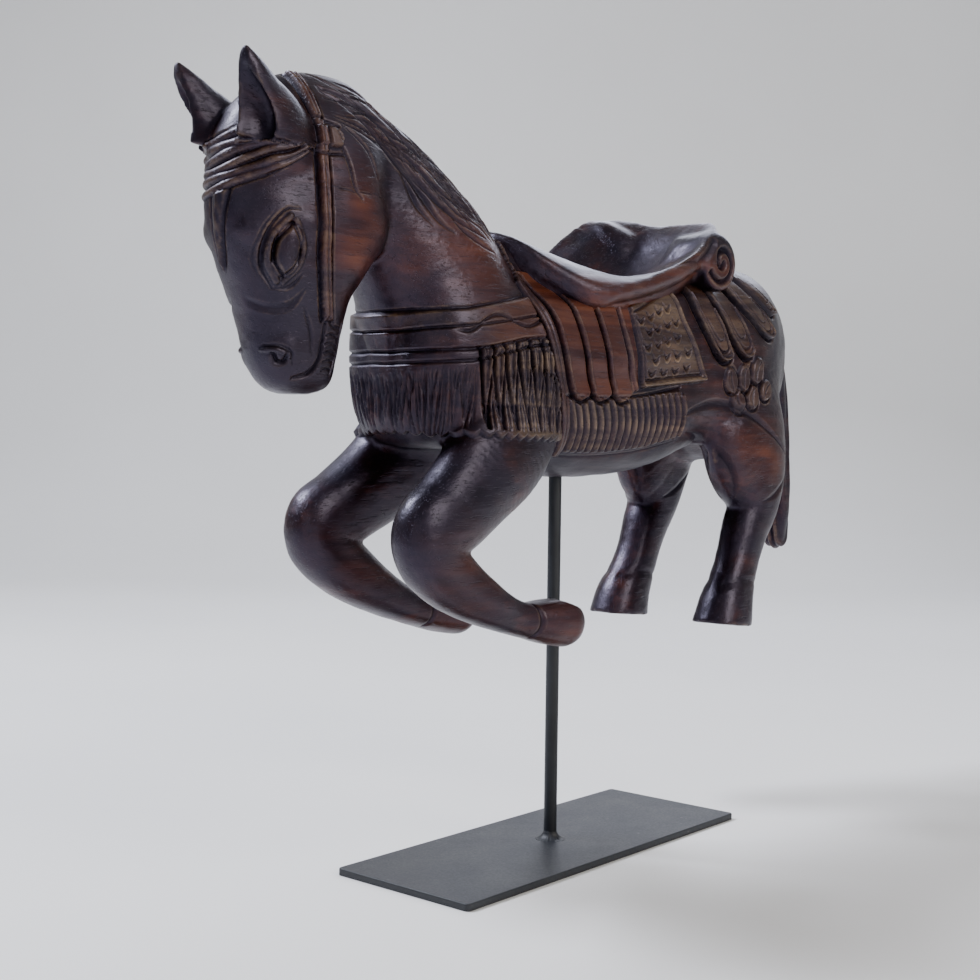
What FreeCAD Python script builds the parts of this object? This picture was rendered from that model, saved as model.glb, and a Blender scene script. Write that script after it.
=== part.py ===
"""Carved wooden horse on a steel rod stand, as a parametric FreeCAD document.

Row frame, millimetres: +Z up, the horse faces -Y and its left side is +X. The origin is the middle
of the base plate's underside. The carving is symmetric about the plane X = 0.
"""

import FreeCAD, Part
import math
import os
import Sketcher
from FreeCAD import Placement, Rotation, Vector

doc = FreeCAD.newDocument("horse")
sheet = doc.addObject("Spreadsheet::Sheet", "Sheet")

# Driving dimensions: alias, value in mm (or degrees for a lean), what it is.
DIMENSIONS = [
    ("plate_length", 200.0, "base plate, along Y"),
    ("plate_width", 75.0, "base plate, along X"),
    ("plate_thick", 3.0, "base plate, flat bar"),
    ("plate_corner", 2.0, "base plate, corner radius"),
    ("plate_edge", 0.6, "base plate, rounding of the top edge"),
    ("rod_rad", 3.0, "support rod, radius of the round bar"),
    ("rod_top", 213.0, "height of the rod's tip"),
    ("rod_tip", 0.8, "chamfer on the rod's tip"),
    ("weld_leg", 3.6, "weld fillet at the rod's foot"),
    ("liner_wall", 0.9, "wall of the tube that lines the socket"),
    ("liner_cap", 2.0, "thickness of the tube's closed end"),
    ("liner_foot", 174.0, "height of the tube's open end"),
    ("run_gap", 0.05, "radial running clearance, rod to tube and tube to wood"),
    ("planed_top", 247.0, "height of the trunk's planed top, where neck and saddle sit"),
    ("croup_y", 98.0, "Y where the planed top ends at the croup"),
    ("neck_rear", -47.5, "Y where the neck ends and the saddle starts"),
    ("throat_y", -121.0, "Y of a point on the head's glue face"),
    ("throat_z", 262.0, "Z of the same point"),
    ("poll_lean", 22.8, "lean of the head's glue face from upright"),
    ("front_hip", 193.0, "height of the front legs' glue faces"),
    ("hind_hip", 205.0, "height of the hind legs' glue faces"),
    ("dock_y", 178.0, "Y of the tail's glue face"),
    ("ear_foot", 292.0, "height of the ears' glue faces"),
    ("seat_y", 30.0, "Y of the middle of the seat's hollow"),
    ("seat_z", 303.0, "Z of the middle of the seat's hollow"),
    ("seat_long", 58.0, "seat hollow, half its length"),
    ("seat_wide", 34.5, "seat hollow, half its width"),
    ("seat_deep", 40.0, "seat hollow, its depth"),
    ("scroll_y", 79.5, "Y of the cantle's scrolls"),
    ("scroll_z", 276.5, "Z of the cantle's scrolls"),
    ("scroll_rad", 13.5, "radius of the cantle's scrolls"),
    ("scroll_half", 39.0, "half the distance across both scrolls"),
]

# Carved solids are lofts. A station is (x, y, z, lean, half depth, half width, corner radius): the
# first three are its middle. At a lean of 0 it stands upright and is seen from the front; at -90 it
# lies level, with its depth along Y. Its width always lies along X.
TRUNK = [
    (0, -112, 221, 0, 23, 13, 9),
    (0, -106, 221, 0, 33, 24, 17),
    (0, -94, 221, 0, 36, 31, 21),
    (0, -60, 222, 0, 38, 34, 24),
    (0, 0, 216.5, 0, 45.5, 35, 27),
    (0, 50, 219.5, 0, 45, 35.5, 28),
    (0, 90, 228, 0, 45.5, 36, 30),
    (0, 120, 233, 0, 43.5, 35.5, 31),
    (0, 145, 234, 0, 40, 31, 28),
    (0, 165, 232, 0, 33, 23, 21),
    (0, 178, 230, 0, 24, 15, 13),
    (0, 184, 229, 0, 14, 8, 6),
]
NECK = [
    (0, -82, 240, -90, 35, 31, 22),
    (0, -85, 250, -84, 34, 30, 23),
    (0, -96, 264, -66, 32, 27, 21),
    (0, -107, 277, -54, 28, 24, 19),
    (0, -123, 288, -41, 25.5, 21, 16.5),
    (0, -141, 298, -25, 22.5, 18, 15),
    (0, -153, 302, -15, 20, 15, 12),
]
HEAD = [
    (0, -162, 204.5, -90, 9, 6.5, 5.5),
    (0, -162, 208.5, -90, 15, 10.5, 8.5),
    (0, -162, 218, -90, 19.5, 13.5, 12),
    (0, -162.5, 232, -90, 23, 15.5, 13.5),
    (0, -164, 250, -90, 27.5, 20, 17),
    (0, -162, 270, -90, 36, 22, 19.5),
    (0, -161, 286, -90, 37, 22, 19.5),
    (0, -159.5, 300, -90, 36, 20, 18),
    (0, -156, 312, -90, 31, 15.5, 13.5),
    (0, -154, 321, -90, 19, 8, 7),
]
EAR = [
    (15, -183, 290, -90, 19, 7.5, 7),
    (15.5, -187, 302, -90, 15.5, 7.5, 7),
    (17, -194.5, 312, -90, 9.5, 6, 5.5),
    (18.5, -199.5, 319, -90, 5, 3.6, 3.2),
    (19, -202, 323, -90, 1.6, 1.4, 1),
]
FRONT_LEG = [
    (25, -57, 201, -113.7, 27.3, 12, 11),
    (25.5, -68.5, 181.8, -115.7, 26.1, 13, 12),
    (27, -88, 169.8, -127, 21, 12.5, 12),
    (28, -104.5, 159.5, -130, 18.6, 12, 11.5),
    (28.5, -113.5, 147.6, -103.2, 20, 11.5, 11),
    (28.5, -109, 139.5, -97.3, 17.6, 11, 10.5),
    (28.5, -96, 130, -82.1, 14.4, 10.5, 10),
    (29, -84, 123, -55.5, 9.7, 10, 9),
    (29, -69, 115.5, -39.8, 7.8, 9, 7),
    (29.5, -55, 112, -14, 8, 10, 7.5),
    (30, -40, 111, -5, 10.5, 12, 10),
    (30, -28, 108, -10, 9.5, 11.5, 8.5),
    (30, -23, 105, -14, 6, 8, 5.5),
]
HIND_LEG = [
    (26, 112, 226, -90, 34, 11, 10),
    (27, 119, 205, -88, 34, 12.5, 11.5),
    (28, 127, 187, -86, 27, 13, 12.5),
    (29, 130, 172, -90, 20, 12.5, 12),
    (30, 125, 158, -98, 16.5, 11.5, 11),
    (30, 117, 142, -102, 14, 10, 9.5),
    (30, 110, 127, -102, 13.5, 10, 9.5),
    (30.5, 103, 113, -98, 15, 11.5, 11),
    (31, 96.5, 97.2, -95.4, 17.5, 12.5, 12),
]
TAIL = [
    (0, 168, 262, -30, 12, 8, 7),
    (0, 181, 250, -48, 11, 8, 7),
    (0, 191.5, 228, -76, 10, 7.5, 7),
    (0, 197.5, 200, -83, 9, 7.5, 6.8),
    (0, 201, 168, -88, 8.3, 7.5, 6.8),
    (0, 202, 145, -90, 8, 7, 6.3),
    (0, 202, 131, -90, 7.5, 6.5, 5.8),
]
SADDLE = [
    (0, -47.5, 257.5, 0, 14.5, 24, 12),
    (0, -22, 254.5, 0, 11, 36, 10),
    (0, 10, 256.5, 0, 12, 37.5, 8),
    (0, 45, 265, 0, 20, 37.5, 8),
    (0, 68, 269.5, 0, 23.5, 37, 9),
    (0, 84, 270, 0, 24, 36, 11),
    (0, 98, 269, 0, 20, 33, 13),
]
LOFTS = {
    "trunk": TRUNK,
    "neck": NECK,
    "head": HEAD,
    "ear": EAR,
    "front_leg": FRONT_LEG,
    "hind_leg": HIND_LEG,
    "tail": TAIL,
    "saddle": SADDLE,
}

# Dowels: diameter, length, and the middle of each (x, y, z) with its lean about X from upright.
DOWELS = {
    "neck_dowels": (8.0, 30.0, [(0, -100, 247, 0), (0, -66, 247, 0)]),
    "head_dowels": (8.0, 30.0, [(0, -130.5, 284.6, 67.2), (0, -138, 302.4, 67.2)]),
    "ear_dowels": (4.0, 13.0, [(15.5, -182, 292, 0), (-15.5, -182, 292, 0)]),
    "saddle_dowels": (6.0, 22.0, [(0, -30, 247, 0), (0, 86, 247, 0)]),
    "leg_dowels": (
        6.0,
        24.0,
        [(side * 24, y, z, 0) for side in (1, -1) for y, z in ((-70, 193), (-48, 193), (110, 205), (134, 205))],
    ),
    "tail_dowel": (6.0, 18.0, [(0, 178, 246, 78)]),
}


def write_sheet():
    """Puts every driving dimension and every station in the sheet, one cell and one alias each."""
    rows = list(DIMENSIONS)
    fields = ("x", "y", "z", "lean", "deep", "wide", "corner")
    for name, stations in LOFTS.items():
        for i, station in enumerate(stations):
            rows += [(f"{name}_{i}_{field}", value, "") for field, value in zip(fields, station)]
    for name, (diameter, length, _) in DOWELS.items():
        rows += [(f"{name}_rad", diameter / 2, "dowel radius"), (f"{name}_length", length, "dowel length")]
    for row, (alias, value, note) in enumerate(rows, 1):
        sheet.set(f"A{row}", alias)
        sheet.set(f"B{row}", str(value))
        sheet.set(f"C{row}", note)
        sheet.setAlias(f"B{row}", alias)
    doc.recompute()


def bind(thing, **sizes):
    """Binds properties of an object to expressions of the sheet's cells."""
    for name, expression in sizes.items():
        thing.setExpression(name.replace("__", "."), str(expression))
    return thing


def plane(body, role):
    """One of a body's own origin planes."""
    return next(f for f in body.Origin.OriginFeatures if f.Role == role)


def new_body(name):
    body = doc.addObject("PartDesign::Body", name)
    body.Label = name
    return body


def new_sketch(body, name, role):
    sketch = body.newObject("Sketcher::SketchObject", name)
    sketch.AttachmentSupport = [(plane(body, role), "")]
    sketch.MapMode = "FlatFace"
    return sketch


def rounded_rectangle(sketch, wide, deep, corner):
    """Closed outline centred on the sketch's origin: each of the three sizes is an expression."""
    w, d, r = 10.0, 8.0, 3.0
    arcs = []
    for quarter, (x, y) in enumerate([(w, d), (-w, d), (-w, -d), (w, -d)]):
        centre = Vector(x - math.copysign(r, x), y - math.copysign(r, y), 0)
        start = quarter * math.pi / 2
        arc = Part.ArcOfCircle(Part.Circle(centre, Vector(0, 0, 1), r), start, start + math.pi / 2)
        arcs.append(sketch.addGeometry(arc))
    rules = [Sketcher.Constraint("Equal", arcs[0], arc) for arc in arcs[1:]]
    for k, arc in enumerate(arcs):
        following = arcs[(k + 1) % 4]
        ends = sketch.Geometry[arc].EndPoint, sketch.Geometry[following].StartPoint
        line = sketch.addGeometry(Part.LineSegment(*ends))
        rules.append(Sketcher.Constraint("Tangent", arc, 2, line, 1))
        rules.append(Sketcher.Constraint("Tangent", line, 2, following, 1))
        rules.append(Sketcher.Constraint("Horizontal" if k % 2 == 0 else "Vertical", line))
    sketch.addConstraint(rules)
    middle = (-1, 1)
    sized = [
        (Sketcher.Constraint("Radius", arcs[0], r), corner),
        (Sketcher.Constraint("DistanceX", *middle, arcs[0], 1, w), wide),
        (Sketcher.Constraint("DistanceX", arcs[1], 2, *middle, w), wide),
        (Sketcher.Constraint("DistanceY", *middle, arcs[0], 2, d), deep),
        (Sketcher.Constraint("DistanceY", arcs[2], 2, *middle, d), deep),
    ]
    for constraint, size in sized:
        index = sketch.addConstraint(constraint)
        sketch.setExpression(f"Constraints[{index}]", size)


def loft(name, table, side=1, ruled=False):
    """A carved blank through its stations, mirrored to the horse's right when side is -1.

    A ruled one runs straight from station to station, which keeps a sharp bend from bulging.
    """
    body = new_body(name)
    sections = []
    for i in range(len(LOFTS[table])):
        sketch = new_sketch(body, f"{name}_section_{i}", "XZ_Plane")
        key = f"Sheet.{table}_{i}_"
        rounded_rectangle(sketch, key + "wide", key + "deep", key + "corner")
        sketch.AttachmentOffset = Placement(Vector(), Rotation(Vector(1, 0, 0), 0))
        sketch.setExpression("AttachmentOffset.Base.x", f"{side} * {key}x")
        sketch.setExpression("AttachmentOffset.Base.y", key + "z")
        sketch.setExpression("AttachmentOffset.Base.z", f"-1 * {key}y")
        sketch.setExpression("AttachmentOffset.Rotation.Angle", key + "lean")
        sections.append(sketch)
    doc.recompute()
    feature = body.newObject("PartDesign::AdditiveLoft", f"{name}_loft")
    feature.Profile = sections[0]
    feature.Sections = sections[1:]
    feature.Ruled = ruled
    body.Tip = feature
    return body


def box(name, low, size, lean=0):
    """A box of waste or of what is kept, from its low corner; it can lean about X through it."""
    block = doc.addObject("Part::Box", name)
    block.Placement = Placement(Vector(), Rotation(Vector(1, 0, 0), 1))
    bind(block, Length=size[0], Width=size[1], Height=size[2])
    bind(block, Placement__Base__x=low[0], Placement__Base__y=low[1], Placement__Base__z=low[2])
    return bind(block, Placement__Rotation__Angle=lean)


def upright(name, radius, height, base, lean=0):
    """A cylinder that stands on its base point, leaning about X."""
    bar = doc.addObject("Part::Cylinder", name)
    bar.Placement = Placement(Vector(), Rotation(Vector(1, 0, 0), 1))
    bind(bar, Radius=radius, Height=height)
    bind(bar, Placement__Base__x=base[0], Placement__Base__y=base[1], Placement__Base__z=base[2])
    return bind(bar, Placement__Rotation__Angle=lean)


def join(kind, name, *shapes):
    """Part::MultiFuse or Part::MultiCommon of the shapes."""
    result = doc.addObject(kind, name)
    result.Shapes = list(shapes)
    return result


def cut(name, base, *tools):
    """base less each tool, in turn."""
    for i, tool in enumerate(tools, 1):
        result = doc.addObject("Part::Cut", name if i == len(tools) else f"{name}_cut_{i}")
        result.Base, result.Tool = base, tool
        base = result
    return base


write_sheet()

# Stand: the plate, the rod that stands on it, and the weld round its foot.
base_plate = new_body("base_plate")
outline = new_sketch(base_plate, "plate_outline", "XY_Plane")
rounded_rectangle(outline, "Sheet.plate_width / 2", "Sheet.plate_length / 2", "Sheet.plate_corner")
slab = base_plate.newObject("PartDesign::Pad", "plate_pad")
slab.Profile = outline
bind(slab, Length="Sheet.plate_thick")
doc.recompute()
top_edges = [
    f"Edge{i}"
    for i, edge in enumerate(slab.Shape.Edges, 1)
    if all(abs(vertex.Z - slab.Shape.BoundBox.ZMax) < 1e-6 for vertex in edge.Vertexes)
]
easing = base_plate.newObject("PartDesign::Fillet", "plate_easing")
easing.Base = (slab, top_edges)
bind(easing, Radius="Sheet.plate_edge")
base_plate.Tip = easing

rod_blank = upright("rod_blank", "Sheet.rod_rad", "Sheet.rod_top - Sheet.plate_thick", (0, 0, "Sheet.plate_thick"))
doc.recompute()
tip_edge = next(
    i
    for i, edge in enumerate(rod_blank.Shape.Edges, 1)
    if abs(edge.BoundBox.ZMin - rod_blank.Shape.BoundBox.ZMax) < 1e-6
)
support_rod = doc.addObject("Part::Chamfer", "support_rod")
support_rod.Base = rod_blank
tip = float(sheet.rod_tip)
support_rod.Edges = [(tip_edge, tip, tip)]

weld_bead = new_body("weld_bead")
fillet = new_sketch(weld_bead, "weld_section", "XZ_Plane")
corner, toe, crown = Vector(3, 3, 0), Vector(7, 3, 0), Vector(3, 7, 0)
for a, b in ((corner, toe), (toe, crown), (crown, corner)):
    fillet.addGeometry(Part.LineSegment(a, b))
fillet.addConstraint(
    [Sketcher.Constraint("Coincident", k, 2, (k + 1) % 3, 1) for k in range(3)]
    + [Sketcher.Constraint("Horizontal", 0), Sketcher.Constraint("Vertical", 2)]
)
for kind, point, expression in (
    ("DistanceX", (0, 1), "Sheet.rod_rad"),
    ("DistanceY", (0, 1), "Sheet.plate_thick"),
    ("DistanceX", (0, 2), "Sheet.rod_rad + Sheet.weld_leg"),
    ("DistanceY", (1, 2), "Sheet.plate_thick + Sheet.weld_leg"),
):
    index = fillet.addConstraint(Sketcher.Constraint(kind, -1, 1, *point, 3.0))
    fillet.setExpression(f"Constraints[{index}]", expression)
ring = weld_bead.newObject("PartDesign::Revolution", "weld_ring")
ring.Profile = fillet
ring.ReferenceAxis = (fillet, ["V_Axis"])
ring.Angle = 360
weld_bead.Tip = ring

# Socket: a capped tube runs on the rod, and the carving turns on the tube.
LINER_IN = "(Sheet.rod_rad + Sheet.run_gap)"
LINER_OUT = f"({LINER_IN} + Sheet.liner_wall)"
CAP_TOP = "(Sheet.rod_top + Sheet.liner_cap)"
tube = upright("liner_blank", LINER_OUT, f"{CAP_TOP} - Sheet.liner_foot", (0, 0, "Sheet.liner_foot"))
hole = upright("liner_hole", LINER_IN, "Sheet.rod_top - Sheet.liner_foot", (0, 0, "Sheet.liner_foot"))
socket_sleeve = cut("socket_sleeve", tube, hole)
socket_bore = upright("socket_bore", f"{LINER_OUT} + Sheet.run_gap", f"{CAP_TOP} - 150", (0, 0, 150))

# Dowels, each set as one node, and each dowel also cuts its own hole in the wood.
dowels, pins = {}, {}
for name, (_, _, places) in DOWELS.items():
    pins[name] = []
    for i, (x, y, z, lean) in enumerate(places):
        half = f"Sheet.{name}_length / 2"
        foot = (x, f"{y} + {half} * sin({lean})", f"{z} - {half} * cos({lean})")
        pin = upright(f"{name}_pin_{i}", f"Sheet.{name}_rad", f"Sheet.{name}_length", foot, lean)
        pins[name].append(pin)
    dowels[name] = join("Part::MultiFuse", name, *pins[name]) if len(pins[name]) > 1 else pins[name][0]
    dowels[name].Label = name

# Carved pieces. FAR is past every solid.
FAR = 300
below_planed = box("below_planed", (-FAR / 2, -FAR, "Sheet.planed_top - 300"), (FAR, 2 * FAR, 300))
above_planed = box(
    "above_planed", (-FAR / 2, -FAR, "Sheet.planed_top"), (FAR, f"{FAR} + Sheet.croup_y", FAR)
)
behind_neck = box("behind_neck", (-FAR / 2, "Sheet.neck_rear", 0), (FAR, FAR, 2 * FAR))
LEAN_BACK = (-FAR / 2, "Sheet.throat_y", "Sheet.throat_z")
head_side = box(
    "head_side",
    (-FAR / 2, "Sheet.throat_y - 300 * cos(Sheet.poll_lean) + 300 * sin(Sheet.poll_lean)",
     "Sheet.throat_z - 300 * sin(Sheet.poll_lean) - 300 * cos(Sheet.poll_lean)"),
    (FAR, FAR, 2 * FAR),
    "Sheet.poll_lean",
)

neck_wood = cut("neck_wood", loft("neck_blank", "neck"), below_planed, behind_neck, head_side)
neck = cut("neck", neck_wood, dowels["neck_dowels"], dowels["head_dowels"])

below_ears = box("below_ears", (-FAR / 2, -FAR, "Sheet.ear_foot - 300"), (FAR, 2 * FAR, 300))
ears = {}
for side, word in ((1, "left"), (-1, "right")):
    wood = cut(f"{word}_ear_wood", loft(f"{word}_ear_blank", "ear", side), below_ears)
    ears[side] = cut(f"{word}_ear", wood, dowels["ear_dowels"])
    ears[side].Label = f"{word}_ear"
    ears[side, "wood"] = wood
head_wood = join("Part::MultiCommon", "head_wood", loft("head_blank", "head"), head_side)
head = cut("head", head_wood, ears[1, "wood"], ears[-1, "wood"], dowels["head_dowels"], dowels["ear_dowels"])

roll = upright(
    "cantle_roll",
    "Sheet.scroll_rad",
    "2 * Sheet.scroll_half",
    ("-1 * Sheet.scroll_half", "Sheet.scroll_y", "Sheet.scroll_z"),
)
roll.setExpression("Placement.Rotation.Angle", None)
roll.Placement = Placement(roll.Placement.Base, Rotation(Vector(0, 1, 0), 90))
hollow = doc.addObject("Part::Ellipsoid", "seat_hollow")
bind(hollow, Radius1="Sheet.seat_deep", Radius2="Sheet.seat_long", Radius3="Sheet.seat_wide")
hollow.Placement = Placement(Vector(), Rotation(Vector(0, 0, 1), 90))
bind(hollow, Placement__Base__y="Sheet.seat_y", Placement__Base__z="Sheet.seat_z")
past_croup = box("past_croup", (-FAR / 2, "Sheet.croup_y", 0), (FAR, FAR, 2 * FAR))
saddle_block = join("Part::MultiFuse", "saddle_block", loft("saddle_blank", "saddle"), roll)
saddle = cut("saddle", saddle_block, hollow, below_planed, past_croup, dowels["saddle_dowels"])

legs = []
for end in ("front", "hind"):
    above_hip = box(f"above_{end}_hip", (-FAR / 2, -FAR, f"Sheet.{end}_hip"), (FAR, 2 * FAR, FAR))
    for side, word in ((1, "left"), (-1, "right")):
        name = f"{end}_{word}_leg"
        blank = loft(f"{name}_blank", f"{end}_leg", side, ruled=end == "front")
        wood = cut(f"{name}_wood", blank, above_hip)
        legs.append((wood, cut(name, wood, dowels["leg_dowels"])))

before_dock = box("before_dock", (-FAR / 2, "Sheet.dock_y - 300", 0), (FAR, FAR, 2 * FAR))
tail_wood = cut("tail_wood", loft("tail_blank", "tail"), before_dock)
tail = cut("tail", tail_wood, dowels["tail_dowel"])

torso_dowels = [dowels[name] for name in ("neck_dowels", "saddle_dowels", "leg_dowels", "tail_dowel")]
torso = cut(
    "torso",
    loft("trunk_blank", "trunk"),
    above_planed,
    *(wood for wood, _ in legs),
    tail_wood,
    socket_bore,
    *torso_dowels,
)

doc.recompute()

NODES = [base_plate, support_rod, weld_bead, socket_sleeve, torso, neck, head, ears[1], ears[-1], saddle, tail]
NODES += [leg for _, leg in legs] + list(dowels.values())
for thing in doc.Objects:
    if {"Invalid", "Error"} & set(thing.State):
        raise RuntimeError(f"{thing.Name} failed to compute")
os.makedirs("parts", exist_ok=True)
for node in NODES:
    shape = node.Shape
    if shape.isNull() or not shape.isValid() or shape.Volume <= 0:
        raise RuntimeError(f"{node.Label} is not a valid solid")
    shape.exportStep(f"parts/{node.Label}.step")
    size = shape.optimalBoundingBox()
    print(f"{node.Label:18s} {len(shape.Solids)} solid(s) {shape.Volume / 1000:8.2f} cm3", end=" ")
    print(f"X {size.XMin:7.1f} {size.XMax:6.1f} Y {size.YMin:7.1f} {size.YMax:6.1f} Z {size.ZMin:6.1f} {size.ZMax:6.1f}")
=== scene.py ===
"""Carved wooden horse on a steel rod stand, sculpted around the CAD frame."""

import math
import bpy
import numpy as np
import openvdb
from mathutils import Matrix, Vector


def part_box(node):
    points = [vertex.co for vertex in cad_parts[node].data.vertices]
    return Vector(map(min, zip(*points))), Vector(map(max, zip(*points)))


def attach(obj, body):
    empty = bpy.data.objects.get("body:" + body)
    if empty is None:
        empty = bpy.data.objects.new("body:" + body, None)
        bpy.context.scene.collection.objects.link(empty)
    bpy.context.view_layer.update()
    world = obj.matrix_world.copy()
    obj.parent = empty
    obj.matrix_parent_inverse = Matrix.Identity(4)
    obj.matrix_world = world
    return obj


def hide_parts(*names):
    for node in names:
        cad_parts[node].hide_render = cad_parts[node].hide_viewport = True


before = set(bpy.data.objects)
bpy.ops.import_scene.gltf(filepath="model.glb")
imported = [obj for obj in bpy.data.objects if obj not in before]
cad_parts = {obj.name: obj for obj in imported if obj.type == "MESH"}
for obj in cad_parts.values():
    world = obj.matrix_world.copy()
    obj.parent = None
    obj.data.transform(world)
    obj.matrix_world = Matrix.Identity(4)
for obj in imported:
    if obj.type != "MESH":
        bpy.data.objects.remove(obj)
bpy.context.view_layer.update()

MM = 0.001
CELL = 1.0  # sculpting grid, mm
LOW = np.array([0.0, -214.0, 86.0])
COUNT = (51, 436, 248)  # cells from the middle plane outwards, along Y and along Z
RELIEF = 0.25  # relief map, mm per cell
MARGIN = 3.0  # how far an outline's edge is felt beyond it, mm
SCROLL = np.array((78.0, 274.0))  # middle of the saddle's scrolls, Y and Z

ys = LOW[1] + CELL * np.arange(COUNT[1], dtype=np.float32)
zs = LOW[2] + CELL * np.arange(COUNT[2], dtype=np.float32)
X = (CELL * np.arange(COUNT[0], dtype=np.float32))[:, None, None]
Y2, Z2 = np.meshgrid(ys, zs, indexing="ij")
Y, Z = Y2[None], Z2[None]


# ---------------------------------------------------------------- field helpers
def smooth(edge0, edge1, v):
    t = np.clip((v - edge0) / (edge1 - edge0), 0.0, 1.0)
    return t * t * (3.0 - 2.0 * t)


def curve(points, per=8):
    """Catmull-Rom through rows of any width, per steps between rows."""
    p = np.asarray(points, float)
    p = np.vstack([2 * p[0] - p[1], p, 2 * p[-1] - p[-2]])
    out = []
    for i in range(1, len(p) - 2):
        for t in np.arange(per) / per:
            a, b, c, d = p[i - 1 : i + 3]
            bend = (2 * a - 5 * b + 4 * c - d) * t**2 + (3 * b - a - 3 * c + d) * t**3
            out.append(0.5 * (2 * b + (c - a) * t + bend))
    out.append(p[-2])
    return np.array(out)


def union(a, b, k):
    """Both fields as one, with a fillet of about k mm."""
    h = np.clip(0.5 + 0.5 * (b - a) / k, 0.0, 1.0)
    return b + (a - b) * h - k * h * (1.0 - h)


def carve(a, b, k):
    """Field a without field b, with edges rounded over about k mm."""
    return -union(-a, b, k)


def limb(rows, power=2.3, per=8):
    """Field of a limb: rows of (y, z, half depth, half width, x) along its middle."""
    path = curve(rows, per)
    best = np.full(Y2.shape, 1e9, np.float32)
    kept = [np.ones(Y2.shape, np.float32) for _ in range(4)]
    for a, b in zip(path[:-1], path[1:]):
        d = b[:2] - a[:2]
        t = np.clip(((Y2 - a[0]) * d[0] + (Z2 - a[1]) * d[1]) / max(float(d @ d), 1e-6), 0.0, 1.0)
        away = np.hypot(Y2 - a[0] - t * d[0], Z2 - a[1] - t * d[1])
        row = [a[k] + t * (b[k] - a[k]) for k in (2, 3, 4)]
        gap = away - row[0]
        closer = gap < best
        best = np.where(closer, gap, best)
        for store, value in zip(kept, [away] + row):
            store[closer] = value[closer]
    away, deep, wide, x = kept
    q = ((away / deep) ** power)[None] + (np.abs(X - x[None]) / wide[None]) ** power
    return ((q ** (1.0 / power) - 1.0) * np.minimum(deep, wide)[None]).astype(np.float32)


def slices(along, rows, power=2.5, pinch=0.0):
    """Field of a form sliced along Y or Z: rows of (position, middle, half depth, half width)."""
    rows = curve(rows, 10)
    run, other = (Y, Z) if along == "Y" else (Z, Y)
    middle, deep, wide = (np.interp(run, rows[:, 0], rows[:, k]) for k in (1, 2, 3))
    off = (other - middle) / deep
    wide = wide * (1.0 + pinch * np.clip(off, -1.0, 1.0))
    q = (np.abs(off) ** power + (np.abs(X) / wide) ** power) ** (1.0 / power)
    field = (q - 1.0) * np.minimum(deep, wide)
    past = np.maximum(rows[0, 0] - run, run - rows[-1, 0])
    return np.maximum(field, past).astype(np.float32)


# ---------------------------------------------------------------- the horse's forms
TRUNK = [
    (-113, 220, 12, 5), (-112, 220, 24, 14), (-106, 220, 33, 24), (-94, 220, 36, 30.5),
    (-60, 220, 38, 33.5), (-20, 213, 40.5, 34), (20, 211, 39.5, 34.5), (50, 213, 38.5, 35),
    (78, 224, 42, 35), (95, 231, 43, 35.5), (120, 234.5, 42, 35), (145, 235, 40, 31),
    (165, 232, 33, 23), (178, 230, 24, 14), (184, 229, 13, 6),
]
HEAD = [
    (204, -162, 6, 5), (206, -162, 12, 8.5), (210, -162.8, 15.8, 11), (218, -164, 18.6, 13),
    (232, -164.6, 22, 15), (250, -165.5, 28.6, 19.5), (262, -164.6, 33.8, 21.5),
    (274, -162.5, 37.2, 22), (288, -161, 37, 21.5), (300, -159.5, 35.5, 19.5), (312, -156, 30, 15),
    (321, -152, 20, 8.5), (324.5, -150, 9, 4),
]
NECK = [
    (-80, 240, 36, 30, 0), (-90, 258, 33.5, 26, 0), (-104, 274, 29, 22.5, 0), (-121, 287, 26, 19, 0),
    (-139, 297, 23.5, 16.5, 0), (-153, 301, 20, 14, 0),
]
FRONT = [
    (-55, 203, 26, 11, 24), (-68, 186, 25, 12.5, 25.5), (-88, 170, 20.5, 12.5, 27.5),
    (-104.5, 158, 18, 12, 28.5), (-115.5, 150.5, 16.8, 11.5, 28.8), (-113.5, 140.5, 14.5, 11, 28.6),
    (-100, 130, 12.2, 10.5, 28.5), (-84, 121.5, 9.6, 9.8, 29), (-69, 115.3, 7.8, 8.8, 29),
    (-58, 112.2, 7.6, 9.2, 29.5), (-46, 110.8, 9.4, 11, 30), (-35, 109.8, 10.6, 11.8, 30),
]
HIND = [
    (112, 222, 33, 10, 25), (117, 204, 32, 12.5, 26.5), (120, 188, 32, 13.4, 28),
    (124.5, 173.5, 24.5, 12.6, 29.5), (125.5, 157, 15.8, 11.2, 30), (117.5, 142, 13.4, 10, 30),
    (111, 128, 12.3, 9.6, 30), (105.5, 117, 12.9, 10.4, 30.5), (99.5, 105, 15.6, 12, 31),
    (95.5, 92, 17.9, 13, 31),
]
TAIL = [
    (166, 262, 11, 8, 0), (181, 249, 10.5, 7.5, 0), (191.5, 227, 9.6, 7.2, 0), (197.5, 200, 8.8, 7, 0),
    (200.5, 170, 8.2, 6.8, 0), (202, 148, 7.8, 6.4, 0), (202.5, 135, 6.8, 5.6, 0),
]
EAR = [
    (-182, 288, 20, 7.2, 14.5), (-186, 298, 15.2, 6.8, 15.5), (-191.5, 306, 10.4, 5.8, 16.5),
    (-196.5, 313.5, 6.4, 4.6, 17.8), (-200, 319, 3.4, 3.0, 18.6), (-201.5, 322, 1.6, 1.6, 19),
]


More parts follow.
